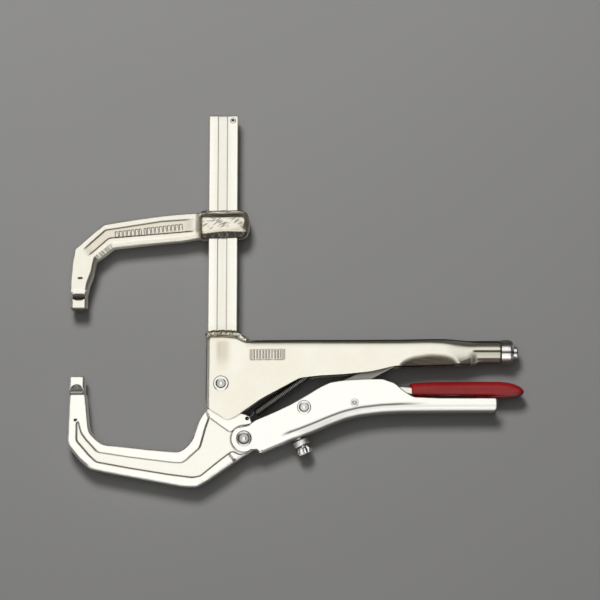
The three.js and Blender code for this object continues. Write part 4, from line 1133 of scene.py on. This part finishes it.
dress(rivet("jaw_rivet", PIVOT_A, 8.15, 5.4, 1.7, 3.6), "upper_handle", "rivet", "jaw_pivot_rivet")
dress(rivet("handle_rivet", PIVOT_B, 7.85, 5.5, 2.2, 3.6, 0.66, 0.85), "jaw", "rivet", "handle_pivot_rivet")
dress(rivet("toggle_rivet", PIVOT_C, 8.85, 4.9, 1.4, 3.0, 0.62), "lower_handle", "rivet", "link_rivet")
dress(rivet("lever_rivet", PIVOT_E, 8.85, 2.7, 0.9, 1.7, 0.5), "lower_handle", "rivet", "release_lever_rivet")

# ------------------------------------------------------------------ plates: link, lever, spring lug
def plate_piece(name, pts, half, edge=0.6, soft_r=1.2, holes=(), h=None, bow=0.0):
    pts = soften(pts, soft_r)

    def field(X, Y, Z):
        d = poly_sdf(X[:, :, 0], Y[:, :, 0], pts)[:, :, None]
        f = smax(d, np.abs(Z) - half + 0 * X, edge * 2)
        for (cx, cy), r in holes:
            f = smax(f, r - np.hypot(X - cx, Y - cy), 0.3)
        return f

    lo, hi = pts.min(0), pts.max(0)
    return field_piece(name, field, (lo[0] - 1, lo[1] - 1, -half - 1), (hi[0] + 1, hi[1] + 1, half + 1), h)


LINK_END = (80.92, -36.67)
u = np.array(LINK_END) - np.array(PIVOT_C)
link_len = np.linalg.norm(u)
u = u / link_len
v = np.array([-u[1], u[0]])


def along(a, b):
    return tuple(np.array(PIVOT_C) + u * a + v * b)


link_pts = [along(link_len + 4 * math.cos(a), 4 * math.sin(a)) for a in np.linspace(-math.pi / 2, math.pi / 2, 9)] + [
    along(9, 5.3), along(4, 6), along(-2.6, 6), along(-6.2, 4), along(-7.6, 0), along(-6.2, -4), along(-2.6, -6), along(4, -6), along(9, -5.3)]
dress(plate_piece("toggle_bar", link_pts, 3.0, 0.5, 2.0, [(PIVOT_C, 3.3)], h=FINE * 1.25), "link", "dark", "toggle_link")

LEVER = [(29.82, -69.81), (36.12, -68.82), (39.62, -65.49), (46.62, -61.95), (62.72, -60.6), (73.22, -60.75), (87.22, -62.02), (108.22, -62.87), (146.02, -62.73), (148.82, -65.14), (146.02, -67.54), (108.22, -68.25), (87.22, -67.68), (74.62, -66.76), (64.82, -67.68), (55.02, -71.86), (46.62, -74.55), (42.42, -76.89), (38.22, -76.89), (35.42, -74.48), (29.82, -72.92)]
dress(plate_piece("release_lever_bar", LEVER, 4.2, 0.8, 2.0, [(PIVOT_E, 2.0)], h=FINE * 1.1), "lever", "sheet", "release_lever")

GRIP = [(79.24, -59.61), (81.62, -58.48), (94.22, -57.91), (122.22, -57.56), (141.82, -57.49), (150.22, -58.34), (155.82, -60.39), (158.9, -62.87), (159.67, -65.14), (157.92, -67.4), (153.72, -68.82), (141.82, -69.24), (101.22, -68.96), (83.02, -68.68), (79.52, -67.83)]


def grip_field(X, Y, Z):
    x, y = X[:, :, 0], Y[:, :, 0]
    # signed distance to the grip's outline
    d = poly_sdf(x, y, soften(GRIP, 2.5))[:, :, None]
    az = np.abs(Z)
    # rounded section: the outline shrinks towards the sides, with a soft ridge along the middle
    side = np.clip(az / 6.0, 0, 1.2)
    f = smax(d + 2.3 * side ** 3.0, az - 6.0, 2.6)
    f = f + 0.42 * np.exp(-(((Y - -64.14) / 0.9) ** 2)) * step01((X - 90.72) / 20) * step01((156.52 - X) / 4) * step01((az - 3.0) / 1.5)
    f = f + 0.05 * waves(X, Y, Z, 9, 41)
    dl = poly_sdf(x, y, soften(LEVER, 2.0))[:, :, None]
    hollow = smax(dl - 0.3, az - 4.5, 0.8)
    return smax(f, -hollow, 0.5)


grip = field_piece("release_grip", grip_field, (78.12, -70.09, -6.6), (160.37, -56.64, 6.6))
dress(grip, "lever", "red", "release_lever_grip")

ANCHOR = (29.82, -37.52)
lug_top = -28.74 - SHEET - 0.5
LUG = [(ANCHOR[0] - 4, lug_top), (ANCHOR[0] - 4, ANCHOR[1] - 1.5), (ANCHOR[0] - 1.5, ANCHOR[1] - 4), (ANCHOR[0] + 2.5, ANCHOR[1] - 4), (ANCHOR[0] + 5, ANCHOR[1] + 1), (ANCHOR[0] + 7, lug_top)]
dress(plate_piece("spring_lug", LUG, 1.5, 0.3, 0.8, [(ANCHOR, 1.3)], h=FINE), "upper_handle", "dark", "spring_anchor_lug")

# ------------------------------------------------------------------ screws
def threaded(r_out, depth, pitch):
    def radius(r, th, h):
        if r < r_out - 0.01:
            return np.full(len(th), r)
        t = (h / pitch - th / (2 * math.pi)) % 1.0
        return r - depth * np.abs(2 * t - 1) ** 0.9

    return radius


tx0, tx1 = 80.92 + 4 + 3.0, 143.71
axis_o = (0, TUBE_Y, 0)
cap_face = tx0
prof = [(0, cap_face), (3.1, cap_face)] + arc(3.6, cap_face + 0.8, 0.8, -90, 0, 5) + [(4.4, cap_face + 4.6), (4.0, cap_face + 5.0), (2.9, cap_face + 5.0), (2.9, cap_face + 2.3), (0, cap_face + 2.3)]
cap = turned("thrust_cap", prof, axis_o, (1, 0, 0), 48)
shade_by_angle(cap, 40)
dress(cap, "thrust_cap", "dark", "adjusting_thrust_cap")

sx0 = cap_face + 5.4
rod = [(0, cap_face + 2.6), (2.5, cap_face + 2.6), (2.5, sx0), (3.2, sx0), (3.9, sx0 + 0.8)]
rod = rod[:-1] + densify([(3.9, sx0 + 0.8), (3.9, tx1 - 1.2)], 0.16) + [(3.1, tx1 - 1.0), (3.1, tx1)]
R = 8.45
head = [(R - 0.6, tx1), (R - 0.12, tx1 + 0.25), (R, tx1 + 0.7)]
head += [(R, 149.94), (R - 0.1, 150.43)] + [(R - 0.55, 151.13), (R - 1.6, 152.11), (R - 2.1, 152.32), (4.95, 152.39)]
head += [(4.75, 152.6), (4.75, 152.81), (4.75, 153.58), (4.75, 154.42), (4.75, 154.63), (4.6, 155.05), (4.2, 155.47), (2.6, 155.47), (2.4, 155.26), (2.4, 153.44), (0, 153.16)]


def spindle_radius(r, th, h):
    out = np.full(len(th), r)
    if abs(r - 3.9) < 1e-6:
        t = (h / 1.25 - th / (2 * math.pi)) % 1.0
        out = r - 0.68 * np.abs(2 * t - 1)
    elif abs(r - 2.4) < 1e-6:  # six-sided key socket in the stub
        out = 2.05 / np.cos((th + math.pi / 6) % (math.pi / 3) - math.pi / 6)
    return out


spindle = turned("adjusting_screw", rod + head, axis_o, (1, 0, 0), 72, spindle_radius)
shade_by_angle(spindle, 45)
# painted dark reflections: a dark line along the middle of the collar and stub, and darker lower and upper sides, which
# turn with the screw
paint(spindle, "dark", lambda x, y, z: (x > 143.22) * np.maximum.reduce([
    np.minimum(1.3 * np.exp(-(((y - -37.67) / 0.85) ** 2)), 0.95) * (np.abs(z) > 3),
    0.80 * step01((-41.49 - y) / 0.9),
    0.75 * step01((y - -32.71) / 0.8)]))
dress(spindle, "spindle", "rivet", "adjusting_spindle")

bush = turned("tube_bush", [(4.2, 126.42), (4.4, 126.42 - 0.0), (5.4, 126.42), (5.7, 126.42 + 0.3), (5.7, 143.36 - 0.9), (5.4, 143.36 - 0.6), (4.4, 143.36 - 0.6), (4.2, 143.36 - 0.8), (4.2, 126.42)], axis_o, (1, 0, 0), 56)
shade_by_angle(bush, 40)
dress(bush, "upper_handle", "bright", "spindle_bush")

FOOT = (1.82, -95.58)
FO = (FOOT[0], FOOT[1], 0)
SD = (0.426, -0.905, 0)


def knurl(n, depth, r_min, helix=0.0):
    def radius(r, th, h):
        if r < r_min:
            return np.full(len(th), r)
        a = np.abs(((th * n / (2 * math.pi) + helix * h) % 1.0) * 2 - 1)
        b = np.abs(((th * n / (2 * math.pi) - helix * h) % 1.0) * 2 - 1)
        return r - depth * (a if not helix else np.minimum(a, b))

    return radius


b_prof = [(2.2, -2.6), (3.0, -2.6), (3.0, 1.3), (3.7, 1.3), (3.9, 1.5), (3.9, 2.1), (3.7, 2.3), (2.2, 2.3), (2.2, -2.6)]
pb = turned("screw_bush", b_prof, FO, SD, 48)
shade_by_angle(pb, 40)
dress(pb, "lower_handle", "bright", "pressure_screw_bush")

nut_prof = [(2.25, 3.3), (2.5, 3.1), (4.7, 3.1), (5.25, 3.35), (5.55, 3.8)] + [(5.55, 4.4), (5.55, 5.2), (5.55, 6.0), (5.55, 6.5)] + [(5.25, 6.95), (4.7, 7.2), (2.5, 7.2), (2.25, 7.0), (2.25, 3.3)]
nut = turned("lock_nut", nut_prof, FO, SD, 216, knurl(36, 0.14, 5.0))
shade_by_angle(nut, 55)
paint(nut, "dark", lambda x, y, z: 0.0 * x)
dress(nut, "lock_nut", "nut", "pressure_lock_nut")

scr = [(0, -7.3), (1.5, -7.3), (1.9, -6.9)] + densify([(1.9, -6.9), (1.9, 7.6)], 0.14)[1:] + [(1.7, 7.7), (1.7, 8.3)]
scr += arc(3.6, 9.6, 1.3, -90, -20, 6) + arc(4.0, 10.8, 1.6, -5, 5, 2) + arc(3.6, 12.1, 1.3, 20, 88, 6) + [(2.6, 13.35), (2.2, 12.9), (0, 12.8)]


def screw_radius(r, th, h):
    if abs(r - 1.9) < 1e-6 and -6.9 < h < 7.6:
        t = (h / 0.7 - th / (2 * math.pi)) % 1.0
        return r - 0.36 * np.abs(2 * t - 1)
    if r > 3.0:  # eight round lobes
        lobe = 0.5 + 0.5 * np.cos(8 * th + 0.4)
        return r * (1.0 - 0.17 * (1 - lobe**0.6) * min(1.0, (r - 3.0) / 1.5))
    return np.full(len(th), r)


ps = turned("pressure_thumb_screw", scr, FO, SD, 160, screw_radius)
shade_by_angle(ps, 50)
dress(ps, "pressure_screw", "bright", "pressure_screw")

pf = turned("pressure_foot_cap", [(0, -9.6), (1.7, -9.6), (2.4, -9.35), (2.9, -8.7), (2.9, -5.5), (2.6, -5.2), (2.2, -5.2), (2.2, -7.6), (0, -7.6)], FO, SD, 40)
shade_by_angle(pf, 40)
dress(pf, "pressure_foot", "dark", "pressure_pin")

# ------------------------------------------------------------------ jaw return spring
EAR = (-33.46, -83.54)
p0, p1 = np.array([*EAR, 0.0]), np.array([*ANCHOR, 0.0])
d = p1 - p0
L = np.linalg.norm(d)
d = d / L
s_u = np.array([-d[1], d[0], 0.0])
s_w = np.array([0, 0, 1.0])
wire, coil_r = 0.55, 2.35
a0, a1 = 7.6, L - 6.2
turns = int((a1 - a0) / (2 * wire * 1.06))
path = []
# hook through the jaw's ear
for a in np.linspace(-0.9 * math.pi, 0.62 * math.pi, 16):
    path.append(p0 + d * (1.9 * math.cos(a) + 0.2) + s_w * 1.9 * math.sin(a))
path.append(p0 + d * 4.6 + s_w * 0.4)
path.append(p0 + d * 6.2 + s_w * 0.4 + s_u * 1.2)
for t in np.linspace(0, 1, turns * 14):
    a = t * turns * 2 * math.pi + math.pi / 2
    path.append(p0 + d * (a0 + (a1 - a0) * t) + s_u * coil_r * math.sin(a) + s_w * coil_r * math.cos(a))
path.append(p0 + d * (a1 + 1.3) + s_w * 1.2)
for a in np.linspace(-0.62 * math.pi, 0.9 * math.pi, 16):
    path.append(p1 - d * 0.2 + d * (-1.9 * math.cos(a)) + s_w * 1.9 * math.sin(a) * -1)
spring = tube_along("return_spring", path, wire, 8)
spring.data.materials.append(M["dark"])
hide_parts("jaw_spring")
start = ((p1 - d * 6) * 0.001).tolist()
end = ((p0 + d * 3) * 0.001).tolist()
start[2] = end[2] = MID * 0.001
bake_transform(spring)
